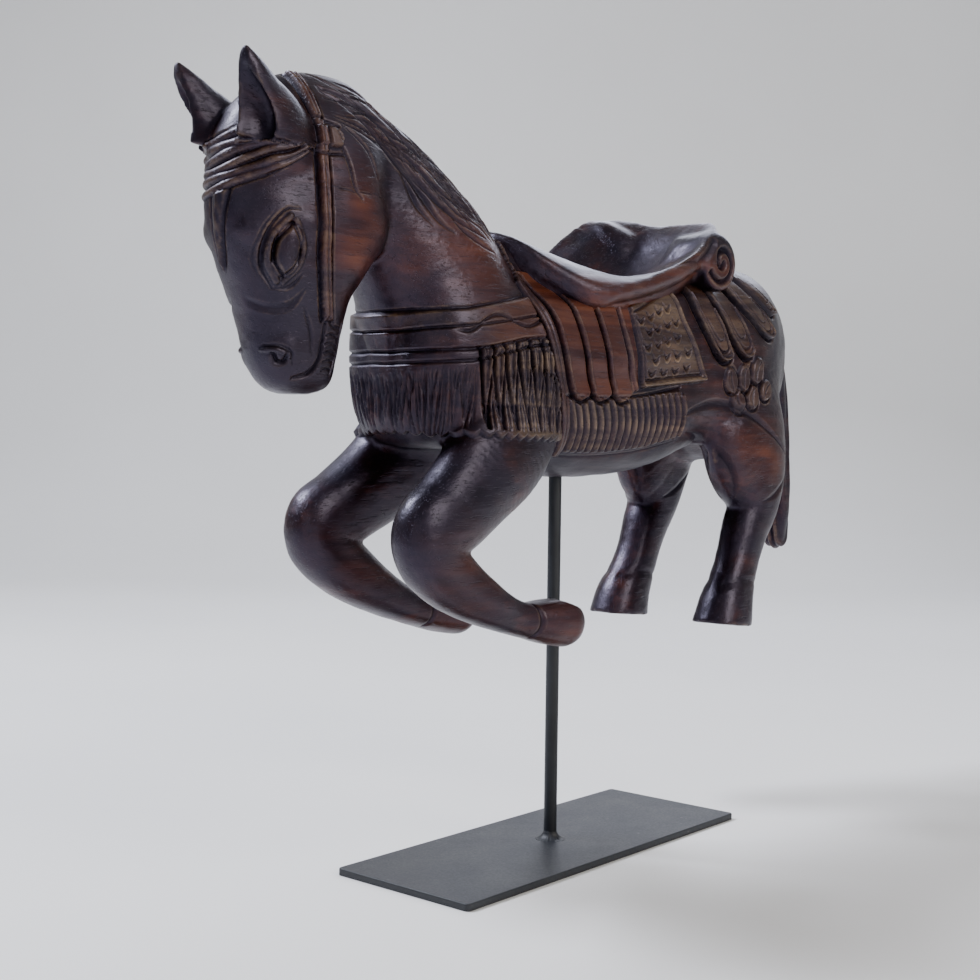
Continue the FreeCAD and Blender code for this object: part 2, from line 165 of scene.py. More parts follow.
def build_saddle():
    rows = [  # y, half width, rim height, seat height, underside of the rim
        (-54, 9, 275.5, 278, 268), (-47, 21, 269.5, 276.5, 262), (-38, 29.5, 262, 274.5, 255.5),
        (-28, 36, 256.5, 272, 249.5), (-17, 40, 254.7, 269.5, 247), (-4, 42, 256, 266.5, 250),
        (10, 42.5, 259.5, 263.5, 253), (24, 42.5, 265, 262.5, 256.5), (38, 42, 270.5, 262.5, 260.5),
        (51, 41, 276.2, 265, 265.5), (62, 39.5, 282, 271, 270), (72, 37, 288, 279.5, 272),
        (82, 33, 292.5, 289.5, 268), (90, 26.5, 295.5, 296, 262), (95.5, 17, 296.5, 296.5, 256),
        (98.5, 6, 296, 296, 250),
    ]
    rows = curve(rows, 8)
    half, rim, seat, under = (np.interp(Y, rows[:, 0], rows[:, k]) for k in (1, 2, 3, 4))
    u = np.clip(np.abs(X) / half, 0.0, 1.1)
    top = seat + (rim - seat) * u**2.3
    low = under - 1.5 - np.maximum(0.86 - u, 0.0) * 60.0 + 3.0 * smooth(0.86, 1.0, u)
    field = carve((Z - top) * 0.75, -(low - Z) * 0.7, 3.0)
    field = carve(field, -(np.abs(X) - half) * 0.9, 3.0)
    field = carve(field, -np.maximum(-54.5 - Y, Y - 98.5 + 0.22 * np.maximum(Z - 276, 0)), 5.0)
    field = np.maximum(field, 238.0 - Z)
    # The cantle's ends roll into scrolls.
    roll = np.hypot(Y - SCROLL[0], Z - SCROLL[1]) - 14.0
    roll = carve(roll, -(np.abs(X - 25.0) - 14.5), 5.0)
    field = union(field, roll, 3.0)
    dish = np.sqrt(((Y - 35) / 45) ** 2 + (X / 34.5) ** 2 + ((Z - 303) / 40) ** 2) - 1.0
    return carve(field, dish * 30.0, 4.5).astype(np.float32)


def build_ear():
    ear = limb(EAR, 2.1, 6)
    hollow = limb(
        [
            (-200, 298.5, 12.6, 4.8, 18.3), (-202, 303.5, 10.6, 4.4, 18.6),
            (-204.2, 309, 7.6, 3.7, 18.9), (-206, 315, 4.6, 2.5, 19.1), (-206, 320, 2.2, 1.2, 19.2),
        ],
        2.0,
        6,
    )
    return np.maximum(carve(ear, hollow, 1.2), (292.8 - 0.03 * (Y + 182) - Z) * 0.9)


def polygons(field):
    """Closed quad mesh in mm of the field's zero surface, mirrored in the middle plane."""
    full = np.concatenate([field[:0:-1], field], 0)
    far = 4.0  # beyond this depth the field isn't needed
    grid = openvdb.FloatGrid(30.0)
    grid.copyFromArray(np.clip(full, -far, far).astype(np.float32))
    grid.background = far
    grid.transform = openvdb.createLinearTransform(CELL)
    points, quads = grid.convertToQuads(0.0)
    return points.astype(float) + LOW - np.array([(COUNT[0] - 1) * CELL, 0, 0]), quads


# ---------------------------------------------------------------- carved relief
class Relief:
    """Heights in mm over a rectangle of a carving's own coordinates, drawn with strokes and outlines."""

    def __init__(self, low, high, step=RELIEF):
        self.low, self.step = np.array(low, float), step
        a = np.arange(low[0], high[0], step)
        b = np.arange(low[1], high[1], step)
        self.a, self.b = np.meshgrid(a, b, indexing="ij")
        self.cut, self.lift, self.gold, self.red = (np.zeros_like(self.a) for _ in range(4))

    def _near(self, path, margin):
        """The cells round a path, their distance from it, and how far along it they lie, 0 to 1."""
        path = np.asarray(path, float)
        low = np.floor((path.min(0) - margin - self.low) / self.step).astype(int)
        high = np.ceil((path.max(0) + margin - self.low) / self.step).astype(int) + 1
        low, high = np.clip((low, high), 0, self.a.shape)
        window = tuple(map(slice, low, high))
        a, b = self.a[window], self.b[window]
        best = np.full(a.shape, 1e9)
        if not a.size:
            return window, best, best
        along = np.zeros(a.shape)
        steps = np.linalg.norm(np.diff(path, axis=0), axis=1)
        start = np.concatenate([[0], np.cumsum(steps)])
        for k, (p, q) in enumerate(zip(path[:-1], path[1:])):
            d = q - p
            t = np.clip(((a - p[0]) * d[0] + (b - p[1]) * d[1]) / max(float(d @ d), 1e-9), 0, 1)
            gap = np.hypot(a - p[0] - t * d[0], b - p[1] - t * d[1])
            closer = gap < best
            best[closer] = gap[closer]
            along[closer] = (start[k] + t * steps[k])[closer] / start[-1]
        return window, best, along

    def _raise(self, window, height, gold, red=0.0):
        for grid, values in ((self.lift, height), (self.gold, gold), (self.red, red)):
            grid[window] = np.maximum(grid[window], values)

    def groove(self, points, width=0.9, depth=0.9, taper=0.0, per=6):
        """A V cut; taper thins both ends."""
        window, gap, along = self._near(curve(points, per) if len(points) > 2 else points, width * 2)
        ends = 1.0 - taper * (2.0 * np.abs(along - 0.5)) ** 2
        cut = depth * ends * np.clip(1.0 - gap / (width * np.maximum(ends, 0.2)), 0, 1) ** 1.2
        self.cut[window] = np.maximum(self.cut[window], cut)

    def ridge(self, points, width=1.2, height=0.8, gold=0.0, per=6):
        """A rounded bead."""
        window, gap, _ = self._near(curve(points, per) if len(points) > 2 else points, width * 2)
        lift = height * np.sqrt(np.clip(1.0 - (gap / width) ** 2, 0, 1))
        self._raise(window, lift, gold * np.clip(1.3 - gap / width, 0, 1))

    def field(self, points, height=1.0, edge=1.0, gold=0.0, red=0.0, per=4):
        """Raises what a closed outline holds; per=0 keeps the outline's corners."""
        path = curve(points, per) if per else np.asarray(points, float)
        path = np.vstack([path, path[:1]])
        window, gap, _ = self._near(path, MARGIN)
        a, b = self.a[window], self.b[window]
        inside = np.zeros(a.shape, bool)
        for p, q in zip(path[:-1], path[1:]):
            if p[1] != q[1]:
                spans = (b < max(p[1], q[1])) & (b >= min(p[1], q[1]))
                inside ^= spans & (a < p[0] + (b - p[1]) * (q[0] - p[0]) / (q[1] - p[1]))
        mask = np.where(inside, smooth(-0.1, edge, gap), 0.0)
        self._raise(window, height * mask, gold * mask, red * mask)

    def sample(self, a, b):
        """(height, cut, gold, red) at each point."""
        u = np.clip((a - self.low[0]) / self.step, 0, self.a.shape[0] - 1.001)
        v = np.clip((b - self.low[1]) / self.step, 0, self.a.shape[1] - 1.001)
        i, j = u.astype(int), v.astype(int)
        fu, fv = u - i, v - j
        shares = (1 - fu) * (1 - fv), fu * (1 - fv), (1 - fu) * fv, fu * fv
        corners = (i, j), (i + 1, j), (i, j + 1), (i + 1, j + 1)
        grids = (self.lift - self.cut, self.cut, self.gold, self.red)
        return [sum(share * grid[corner] for share, corner in zip(shares, corners)) for grid in grids]


rng = np.random.default_rng(7)  # the hand's unevenness, drawn in the order of the calls


def tabs(r):
    """Three blanket tabs with round ends, and the plain strip behind them."""
    for k, y in enumerate((-48.7, -33.9, -19.1)):
        top, end = 246.5 + 1.2 * k, 206.5 - 0.3 * k
        left = [(y - 4.6, top + 13), (y, top), (y + 4, 236), (y + 9, 221), (y + 14.2, 209.5)]
        right = [(y + 29, 209), (y + 24, 221), (y + 19.2, 236), (y + 15.6, top), (y + 11.2, top + 13)]
        r.field(left + [(y + 18.4, end - 1.2), (y + 24.4, end - 1.5)] + right, 1.3 + 0.5 * k, 1.5, 0.06, 0.8)
        r.groove(left + [(y + 17.2, end - 0.8), (y + 21.8, end - 2.2), (y + 27.2, end - 0.4)], 1.35, 2.6)
        tip = [(y + 16.2, end + 1.8), (y + 21, end - 0.2), (y + 26, end + 0.8)]
        r.ridge(tip, 1, 1.9 + 0.3 * k, 0.7)
        fold = [(y - 2, top + 10), (y + 2.2, top - 3), (y + 6.2, 235), (y + 11, 220.5), (y + 15.8, 210)]
        r.ridge(fold, 0.9, 2 + 0.45 * k, 0.45)
    r.groove([(-8.6, 260), (-4, 249), (0.6, 237), (5.6, 222), (10.6, 208)], 1.3, 1.8)
    r.ridge([(-4.6, 260), (-0.6, 249), (3.6, 237), (8.6, 222), (13.6, 211)], 1.4, 1.9, 0.3)
    r.field([(-6, 260), (6, 260), (8, 250), (16, 212), (11, 208)], 0.9, 1.4, 0, 0.8, per=0)


def panel(r):
    """Framed panel with rows of scales."""
    corners = np.array([(7.5, 247.5), (43, 258.5), (70, 216.5), (17.5, 211.5)])
    inner = corners + np.array([(2.6, -2.5), (-1.2, -2.6), (-5.6, 2.8), (1.6, 3.4)])
    r.field(corners, 2.3, 1, 0.45, 0.1, per=0)
    for start, width, depth in ((2, 1.1, 1.5), (1, 1, 1.4), (0, 0.9, 1.1), (3, 0.9, 1.1)):
        r.groove(inner[[start, (start + 1) % 4]], width, depth)
    foot, heel, top = corners[3] + (1, 1), corners[2] + (-1.6, 1), corners[1] - (0.5, 0.8)
    r.ridge([foot, heel], 1.2, 3, 1)
    r.ridge([heel, top], 1.1, 3, 0.9)
    for row in range(5):
        for k in range(4):
            s, t = (k + 0.5 + 0.45 * (row % 2)) / 4.6, (row + 0.55) / 5.2
            low = inner[3] + (inner[2] - inner[3]) * s
            high = inner[0] + (inner[1] - inner[0]) * s
            centre = low + (high - low) * t + rng.normal(0, 0.35, 2)
            arc = centre + np.array([(-2.7, 1.3), (-1.4, -0.7), (0.9, -0.9), (2.8, 1)])
            r.groove(arc, 1.35, 1.7, 0.5)
            r.ridge(arc - (0, 1.8), 1, 2.7, 0.9)


LEAVES = (  # Y and Z round each outline
    (57, 262, 62, 252, 71, 238, 80, 229, 86.5, 226.5, 91.5, 229.5, 87, 238, 78, 252, 71, 262),
    (74, 263, 80, 253, 90, 240, 99, 231.5, 105.5, 229, 110.5, 232.5, 105, 242, 96, 254, 89, 264),
    (91, 267, 99, 257, 112, 248, 123, 241.5, 130.5, 240, 133.5, 243.5, 126, 251, 112, 260, 103, 268),
    (106, 270, 116, 263, 128, 256, 136, 252.5, 139.5, 255, 132, 261, 120, 268, 111, 274),
)
PETALS = (  # Y, Z, half length, lean
    (92, 218, 6.4, 1.9), (103, 219.5, 6.8, 1.5), (115.5, 223.5, 7, 1.1), (98, 208.5, 6.6, 2.1),
    (110, 210.5, 6.4, 1.3), (123, 214, 6, 0.8),
)


def leaves(r):
    """Long leaves behind the panel, each with a raised rim and two veins."""
    for leaf in LEAVES:
        ring = np.reshape(leaf, (-1, 2))
        r.field(ring, 2, 1.3, 0.35, 0.15)
        middle = ring.mean(0)
        r.ridge(middle + (ring[:8] - middle) * 0.93, 1.1, 3, 0.85)
        r.groove(middle + (ring[:8] - middle) * 0.74, 1, 1.7, 0.3)
        r.groove(middle + (ring[1:7] - middle) * 0.42, 0.7, 0.9, 0.6)
        r.groove(middle + (ring - middle) * 1.07, 1.5, 2.3)


def petals(r):
    """Round petals under the leaves, each with a cut rim and a vein."""
    for y, z, size, lean in PETALS:
        turn = np.array([(math.cos(lean), math.sin(lean)), (-math.sin(lean), math.cos(lean))])
        whole, most = np.linspace(0, 2 * math.pi, 11)[:-1], np.linspace(1.4, 5.6, 9)
        oval = size * np.stack([1.08 * np.cos(whole), 0.84 * np.sin(whole)], 1)
        rim = size * np.stack([1.14 * np.cos(most), 0.9 * np.sin(most)], 1)
        vein = size * np.array([(-0.9, 0), (0, 0.12), (0.7, 0)])
        r.field(oval @ turn + (y, z), 1.5, 1.6, 0.2, 0.15)
        r.groove(rim @ turn + (y, z), 1.1, 1.7, 0.3)
        r.groove(vein @ turn + (y, z), 0.8, 0.9, 0.5)


def flutes(r):
    """Fluted band along the flank."""
    band = [(-39, 206), (4, 206.5), (48, 211.5), (54, 207), (52, 189.5), (28, 184.5), (-2, 182), (-30, 182.5)]
    r.field(band, 1.2, 1.2, 0.2, 0.05, per=0)
    shift = np.array((2.45, 0.1))
    for t in np.linspace(0, 1, 18):
        top = np.array((-36.5 + 86 * t, 204.5 + 5 * t))
        foot = np.array((-29.5 + 80 * t, 183.2 + 6.2 * t - 2.2 * math.sin(math.pi * t)))
        bend = (top + foot) / 2 + (1.6, 0)
        r.groove([top, bend, foot], 1.5, 1.8, 0.3)
        r.ridge([top + shift - (0, 1), bend + shift, foot + shift + (0, 1.5)], 1.1, 1.7, 0.75)
    r.groove([(-40, 207), (-4, 206.6), (22, 208.5), (50, 213)], 0.9, 1)
    r.groove([(-31, 181), (-4, 180.6), (26, 183), (53, 188)], 0.8, 0.7, 0.4)


def strap(r, path, half, look, beside, depth):
    """Raised strip along a path with a groove on each side; look is its height, edge, gold and red."""
    r.field(np.vstack([path - (half, 0), (path + (half, 0))[::-1]]), *look, per=0)
    for shift in (-beside, beside):
        r.groove(path + (shift, 0), 1, depth)


def girth(r):
    """Girth strap from the withers to the belly."""
    path = np.array([(-62, 272), (-57, 258), (-52, 243), (-47, 228), (-42, 212), (-37.5, 196), (-34.5, 181)])
    strap(r, path, 3.2, (1.6, 1, 0.12, 0.25), 3.6, 1.3)
    r.groove(path, 0.6, 0.5)


def muscles(r):
    """Hollow and muscle lines of the hindquarters, and the coronets of the hooves."""
    r.groove([(52, 199), (66, 203.5), (84, 206), (104, 202.5), (124, 193), (143, 182)], 3.2, 1.7, 0.7)
    r.groove([(60, 192), (76, 190), (88, 182), (97, 171), (103, 160)], 3.4, 1.6, 0.8)
    r.groove([(118, 158), (127, 161), (136, 166), (144, 171)], 2.6, 0.9, 0.8)
    r.groove([(80, 113.5), (90, 118), (102, 119.5), (116, 117)], 3.4, 0.6, 0.3)
    r.groove([(-60, 103), (-56.5, 111), (-57, 120)], 2.2, 1.1, 0.4)


def eye(r):
    """Lids, the ball between them and the creases round them."""
    r.groove([(-180.4, 246), (-184.4, 251.6), (-184.2, 258.6), (-179.4, 264.7)], 0.95, 1.6, 0.1)
    r.groove([(-180.4, 246), (-176.3, 250.8), (-175.7, 257.4), (-179.4, 264.7)], 0.75, 1.3, 0.1)
    r.ridge([(-182, 244.1), (-186.2, 250.8), (-186.1, 259.4), (-180.5, 267)], 1.2, 1, 0.1)
    r.ridge([(-179.7, 243.9), (-174.7, 250), (-174, 257.8), (-178.2, 266)], 1, 0.6)
    r.ridge([(-180.3, 250.4), (-180, 255.3), (-179.7, 259.8)], 4.6, 2.3)
    r.groove([(-183.1, 241.6), (-188.1, 249.6), (-188.4, 259.8), (-182.9, 268.7), (-176.8, 270.1)], 1, 1.2, 0.5)
    r.groove([(-187.6, 245.1), (-191, 252.4), (-190.1, 261.4), (-185.5, 268.8)], 0.8, 0.5, 0.8)
    r.groove([(-183.1, 241.6), (-177, 242.4), (-172.3, 247.9)], 1, 0.7, 0.8)
    r.groove([(-190, 239), (-184, 235), (-176, 235.5), (-170.5, 242)], 2.2, 0.9, 0.8)
    r.groove([(-197, 243), (-190, 231), (-184, 226)], 1.3, 0.6, 0.8)


def bridle(r):
    """Cheek strap with its knob, the hinge line of the jaw and the cuts beside them."""
    path = [(-167.5, 322), (-167, 305), (-167, 290), (-165.8, 272), (-164.6, 256), (-161.5, 243), (-158, 231)]
    path = np.array(path)
    strap(r, path, 2.2, (1.7, 0.8, 0.3, 0.4), 2.9, 1.7)
    r.groove(path + (0.4, 0), 0.5, 0.7)
    r.field([(-172.5, 301.6), (-158.5, 301), (-158, 294), (-172, 293.4)], 2.6, 1.3, 0.35, 0.2)
    r.groove([(-174, 303.6), (-166, 303.8), (-157, 302.6)], 0.9, 1.3)
    r.groove([(-173.5, 291.8), (-166, 291.2), (-156.5, 292.2)], 0.9, 1.3)
    r.groove([(-160, 300), (-155, 290), (-152, 281), (-148, 277)], 1.2, 1.2, 0.5)
    r.groove([(-154, 303), (-144, 296), (-138, 286)], 1, 1.1, 0.6)
    r.groove([(-176, 281.5), (-165, 280.2), (-152, 279.2), (-140, 279.8), (-131, 279)], 0.35, 0.8, 0.7)


def mouth(r):
    """Lips, teeth and nostril."""
    r.groove([(-170, 209.5), (-164.5, 211.5), (-161, 216), (-159.6, 223), (-159, 232)], 1.2, 2, 0.3)
    r.groove([(-153, 211.5), (-149.5, 221), (-149, 231)], 1, 1.5, 0.3)
    r.groove([(-159, 233), (-154.5, 229.5), (-149.5, 229)], 0.9, 1.1, 0.3)
    for k in range(5):
        z = 213.5 + 3.2 * k
        r.groove([(-158.6, z - 0.6), (-155.2, z + 0.2), (-151.6, z - 0.4)], 0.6, 1, 0.2)
    r.groove([(-179.4, 218.2), (-177.4, 215.2), (-174.8, 215.4), (-174.6, 217.8)], 1.4, 2.2, 0.3)
    r.groove([(-181.5, 221.5), (-177.5, 221.4), (-172.8, 219), (-171.6, 214.6)], 0.8, 0.8, 0.5)
    r.ridge([(-181, 219.6), (-177.4, 219.4), (-173.6, 217.6)], 1.1, 0.8)
    r.groove([(-170, 236), (-165.5, 227), (-164, 218)], 1.2, 0.6, 0.8)


def side_relief():
    """Relief of both sides, in (Y, Z)."""
    r = Relief((-214, 86), (222, 334))
    for ornament in (tabs, panel, leaves, petals, flutes, girth, muscles, eye, bridle, mouth):
        ornament(r)
    return r


def mane_relief():
    """Flowing locks of the neck, in (Y, Z)."""
    r = Relief((-172, 238), (-30, 330))
    crest = [(-163, 325), (-150, 323.5), (-130, 320), (-110, 312), (-90, 300), (-70, 286), (-52, 273)]
    crest = curve(crest, 10)
    length = np.concatenate([[0], np.cumsum(np.linalg.norm(np.diff(crest, axis=0), axis=1))])
    step = 0.1

    def along(s):
        return np.array([np.interp(s, length, crest[:, 0]), np.interp(s, length, crest[:, 1])])

    def at(s, inset):
        """The point at s along the crest and inset below it."""
        s = np.clip(s, 0, length[-1] - step)
        d = along(s + step) - along(s)
        return along(s) + inset * np.array((d[1], -d[0])) / np.linalg.norm(d)

    stops = (0, 0.25, 0.5, 0.75, 1)
    for k in range(62):
        s0 = rng.uniform(-4, 92)
        inset = rng.uniform(1, 21)
        run = rng.uniform(24, 50)
        drift = rng.uniform(2, 9) * (1 if inset < 11 else -0.3)
        lock = [at(s0 + run * t, inset + drift * t**1.5 + 1.2 * math.sin(5 * t + k)) for t in stops]
        r.groove(lock, rng.uniform(0.7, 1.3), rng.uniform(0.8, 1.9), 0.85)
    for s0, run in ((4, 60), (18, 66), (44, 62)):
        r.groove([at(s0 + run * t, 17 + 7 * math.sin(3 * t + s0)) for t in stops], 1.6, 1.7, 0.8)
    deepest = [(-160, 316), (-150, 312), (-139.6, 305.5), (-127, 296), (-117.6, 288), (-106, 275), (-97, 270)]
    r.groove(deepest, 2.6, 2.1, 0.8)
    r.groove([(-152, 320), (-141, 314), (-126, 304), (-110, 291), (-97, 280), (-86, 274)], 2, 1.8, 0.8)
    r.groove([(-128, 299), (-121, 288), (-116, 279), (-108, 272)], 1.6, 1.4, 0.8)
    r.groove([(-140, 317), (-124, 309), (-108, 298), (-92, 285), (-76, 274), (-64, 268)], 2, 1.8, 0.8)
    r.groove([(-104, 283), (-94, 273), (-82, 267), (-72, 264)], 1.5, 1.2, 0.8)
    return r


def chest_relief():
    """Strokes of the fringe, in (distance round the chest, Z); 0 is where the chest turns into the side."""
    r = Relief((-62, 178), (46, 256), 0.2)
    # Strokes are drawn by lot all the way round, and cut only ahead of the V shapes.
    last_cut = 62
    for k in range(150):
        s0 = -60 + 0.68 * k + rng.uniform(-0.3, 0.3)
        lean = rng.choice((-1, 1)) * rng.uniform(0.5, 5.5) * 0.55
        top = np.interp(s0, (-60, -20, 20, 46), (214, 217, 227, 231)) - rng.uniform(0, 2)
        low = rng.uniform(189.5, 197) if k % 3 else rng.uniform(200, 208)
        if k <= last_cut:
            stroke = [(s0, top), (s0 + 0.4 * lean, (top + low) / 2 + rng.uniform(-2, 2)), (s0 + lean, low)]
            r.groove(stroke, rng.uniform(0.55, 1.1), rng.uniform(0.8, 1.7), 0.8)
    for k in range(8):
        s0 = -17 + 7.2 * k + rng.uniform(-0.6, 0.6)
        foot = s0 + 3.6 + rng.uniform(-0.5, 0.5)
        for top, low, width, depth, taper in (
            ((s0 - 0.8, 229), (foot, 192), 1.25, 2.8, 0.1),
            ((s0 + 8, 229), (foot, 192), 1.15, 2.6, 0.1),
            ((s0 + 2.6, 228), (foot - 0.2, 206), 0.8, 1.4, 0.6),
            ((s0 + 4.8, 227), (foot + 0.4, 208), 0.8, 1.4, 0.6),
            ((s0 + 7.2, 208), (s0 + 6, 191), 0.8, 1.5, 0.5),
            ((s0 + 7.6, 206), (s0 + 9.2, 191), 0.8, 1.5, 0.5),
        ):
            r.groove([top, low], width, depth, taper)
        r.ridge([(s0 + 1.6, 224), (foot - 1, 202)], 0.9, 0.7, 0.9)
        r.ridge([(s0 + 5.8, 224), (foot + 1, 202)], 0.9, 0.7, 0.9)
    return r


def noise3(p, scale, seed):
    """Smooth value noise in [-1, 1] at each point."""
    q = p / scale + seed * 17.31
    base = np.floor(q).astype(np.int64)
    f = q - base
    f = f * f * (3 - 2 * f)
    total = np.zeros(len(p))
    for corner in range(8):
        o = np.array([(corner >> k) & 1 for k in range(3)])
        c = base + o
        h = (c[:, 0] * 374761393 + c[:, 1] * 668265263 + c[:, 2] * 2147483647 + seed * 974711) & 0x7FFFFFFF
        h = ((h ^ (h >> 13)) * 1274126177) & 0x7FFFFFFF
        value = ((h ^ (h >> 16)) & 0xFFFF) / 32767.5 - 1.0
        total += value * np.prod(np.where(o, f, 1 - f), axis=1)
    return total


def asymmetry(p):
    """What the carver did differently on the right side, as a small move of each point in mm."""
    out = p.copy()
    right = smooth(4, -14, p[:, 0])
    knee = smooth(188, 160, p[:, 2]) * smooth(-60, -105, p[:, 1]) * right
    out[:, 1] -= 3.6 * knee
    out[:, 2] += 1.2 * knee
    hoof = smooth(140, 110, p[:, 2]) * smooth(-95, -60, p[:, 1]) * (p[:, 1] < 20) * right
    out[:, 1] -= 2.0 * hoof
    hind = smooth(185, 150, p[:, 2]) * (p[:, 1] > 50) * right
    out[:, 1] -= 1.5 * hind
    out += np.stack([noise3(p, 34, seed) for seed in (1, 2, 3)], 1) * 0.45
    return out


def edges_of(quads):
    return np.concatenate([quads[:, [k, (k + 1) % 4]] for k in range(4)])


def normals_of(p, quads):
    face = np.cross(p[quads[:, 2]] - p[quads[:, 0]], p[quads[:, 3]] - p[quads[:, 1]])
    n = np.zeros_like(p)
    for k in range(4):
        for axis in range(3):
            n[:, axis] += np.bincount(quads[:, k], face[:, axis], len(p))
    return n / (np.linalg.norm(n, axis=1, keepdims=True) + 1e-12)


def neighbours(values, quads):
    """Mean of each point's neighbours along the quads' edges."""
    a, b = edges_of(quads).T
    count = np.bincount(a, minlength=len(values)) + np.bincount(b, minlength=len(values))
    total = [np.bincount(a, v[b], len(values)) + np.bincount(b, v[a], len(values)) for v in values.T]
    return np.stack(total, 1) / count[:, None]


def relax(p, quads, weight, rounds):
    """Evens out the grid's steps: points move towards their neighbours' mean, then partly back, by weight."""
    for k in range(rounds):
        p = p + (0.6 if k % 2 == 0 else -0.45) * weight[:, None] * (neighbours(p, quads) - p)
    return p


def wear(p, quads, normals, cut, gold):
    """Rubs the sharp edges paler and leaves the stain dark in the creases."""
    bend = ((p - neighbours(p, quads)) * normals).sum(1)[:, None]
    bend = (0.5 * bend + 0.5 * neighbours(bend, quads))[:, 0]
    crease, edge = smooth(0.006, 0.045, -bend), smooth(0.008, 0.05, bend)
    return np.maximum(cut, 1.3 * crease), np.maximum(gold, 0.42 * edge)


def link(name, data):
    thing = bpy.data.objects.new(name, data)
    bpy.context.scene.collection.objects.link(thing)
    return thing


def refine(p, quads, levels):
    """Catmull-Clark subdivision through Blender's own modifier."""
    mesh = bpy.data.meshes.new("refine")
    mesh.from_pydata(p.tolist(), [], quads.tolist())
    work = link("refine", mesh)
    modifier = work.modifiers.new("refine", "SUBSURF")
    modifier.levels = modifier.render_levels = levels
    modifier.use_limit_surface = False
    fine = work.evaluated_get(bpy.context.evaluated_depsgraph_get()).to_mesh()
    q = np.empty(len(fine.vertices) * 3, np.float64)
    fine.vertices.foreach_get("co", q)
    corners = np.empty(len(fine.loops), np.int32)
    fine.loops.foreach_get("vertex_index", corners)
    work.to_mesh_clear()
    bpy.data.objects.remove(work)
    bpy.data.meshes.remove(mesh)
    return q.reshape(-1, 3), corners.reshape(-1, 4)


class Carving:
    """Height in mm, cut, gold and red at each point of a body, gathered region by region."""

    def __init__(self, count):
        self.height, self.cut, self.gold, self.red = (np.zeros(count) for _ in range(4))

    def add(self, height, cut, gold, red, mask=1.0):
        self.height = self.height + height * mask
        self.cut = np.maximum(self.cut, cut * mask)
        self.gold = np.maximum(self.gold, gold * mask)
        self.red = np.maximum(self.red, red * mask)


def notch(z, line, width):
    """V section, 1 deep, along a line over the surface."""
    return np.clip(1 - np.abs(z - line) / width, 0, 1)


def collar_and_fringe(c, p, on):
    """Collar bands with a wave, and the fringe under them, wrapped round the chest."""
    x, y, z = np.abs(p[:, 0]), p[:, 1], p[:, 2]
    turn_y, chest_radius = -75, 36.0
    front = -np.arctan2(turn_y - y, np.maximum(x, 1e-3)) * chest_radius
    around = np.where(y < turn_y, front, y - turn_y)
    strap_y = np.interp(z, (181, 212, 243, 272), (-38.5, -46, -56, -66))
    here = smooth(0.8, -0.8, y - strap_y) * (on["torso"] | on["front_leg"] | on["neck"]) * (y < -34)
    stations = (-120, -95, -60, -36)
    top = np.interp(y, stations, (237.5, 240, 247, 250))
    mid = np.interp(y, stations, (230, 233, 238.5, 241))
    low = np.interp(y, stations, (221.5, 223.5, 229.5, 232))
    under = np.interp(y, stations, (217, 219, 226.5, 229))
    hem = 190.2 - 1.4 * np.abs(np.sin(around * 0.55)) + np.interp(y, (-120, -100, -50), (2.5, 0, -1.5))
    collar = smooth(low - 1, low + 0.6, z) * smooth(top + 0.9, top - 0.9, z)
    fringe = smooth(hem - 0.5, hem + 0.9, z) * smooth(low + 0.5, low - 0.5, z)
    lines = np.zeros(len(p))
    for line, width, depth in ((top, 1.3, 1.1), (mid, 0.9, 1.5), (low, 1.2, 1.8), (under, 1.0, 1.4)):
        lines = np.maximum(lines, depth * notch(z, line + 0.25 * noise3(p, 9, 8), width) ** 1.2)
    wave = mid - 0.5 + 3.4 * np.sin((y + 92) * 0.155) * smooth(-104, -92, y)
    lines = np.maximum(lines, 1.5 * notch(z, wave, 1.1) * smooth(-104, -96, y))
    lift = 2.0 * collar + 2.1 * fringe
    c.add(lift - lines, lines, 0.15 * collar, 0.5 * collar * smooth(-100, -70, y), here)
    fringe = fringe * here
    c.add(*chest_relief().sample(around, z), fringe)
    # Painted shade: the fringe is darkened at the front of the chest, under the neck.
    c.add(0, 0.55, 0, 0, fringe * smooth(-80, -98, y))
    c.add(0, 0, 0.75, 0, fringe * smooth(-98, -84, y) * smooth(0.7, 0.1, c.cut))


def brow_and_forelock(c, p, head):
    """Twisted rolls across the forehead, with the forelock hanging under them."""
    x, y, z = p.T
    base = 275.5 + 0.30 * (y + 200) + 0.014 * np.maximum(y + 190, 0) ** 2 + 0.2 * x
    rise = (z - base) * (1 + 0.9 * smooth(-190, -172, y))
    rolls = np.zeros(len(p))
    for k in range(6):
        bent = 3.6 * k + 0.6 * np.sin(0.17 * x + 2.3 * k) + 0.5 * noise3(p, 9, 31)
        rolls = np.maximum(rolls, np.sqrt(np.clip(1 - (np.abs(rise - bent) / 1.85) ** 2, 0, 1)))
    here = smooth(-169.5, -174, y) * smooth(-2.2, -1.2, rise) * smooth(20.5, 19.2, rise) * head
    c.add(1.7 * rolls - 0.9, 1.4 * (1 - rolls), 0.06 * rolls, 0.1, here)
    middle, half = np.interp(z, (248, 283), (-2, 4.5)), np.interp(z, (248, 256, 272, 283), (0.4, 1.6, 3, 3.6))
    here = smooth(-178, -188, y) * head * smooth(247, 252, z) * smooth(-0.5, -2.5, rise)
    lock = notch(x, middle, half) * here
    body = smooth(0, 0.3, lock)
    c.add(1.6 * lock**0.6 + 0.125 * np.sin(x * 2.6 + 0.35 * z) * body, 0.5 * body, 0, 0)
    c.add(-0.6, 0.9, 0, 0, notch(np.abs(x - middle), half + 0.6, 1.2) * here)


def patch(y, z, centre, spread):
    """1 at the centre, fading out over the spread, in (Y, Z)."""
    return np.exp(-(((y - centre[0]) / spread[0]) ** 2) - ((z - centre[1]) / spread[1]) ** 2)


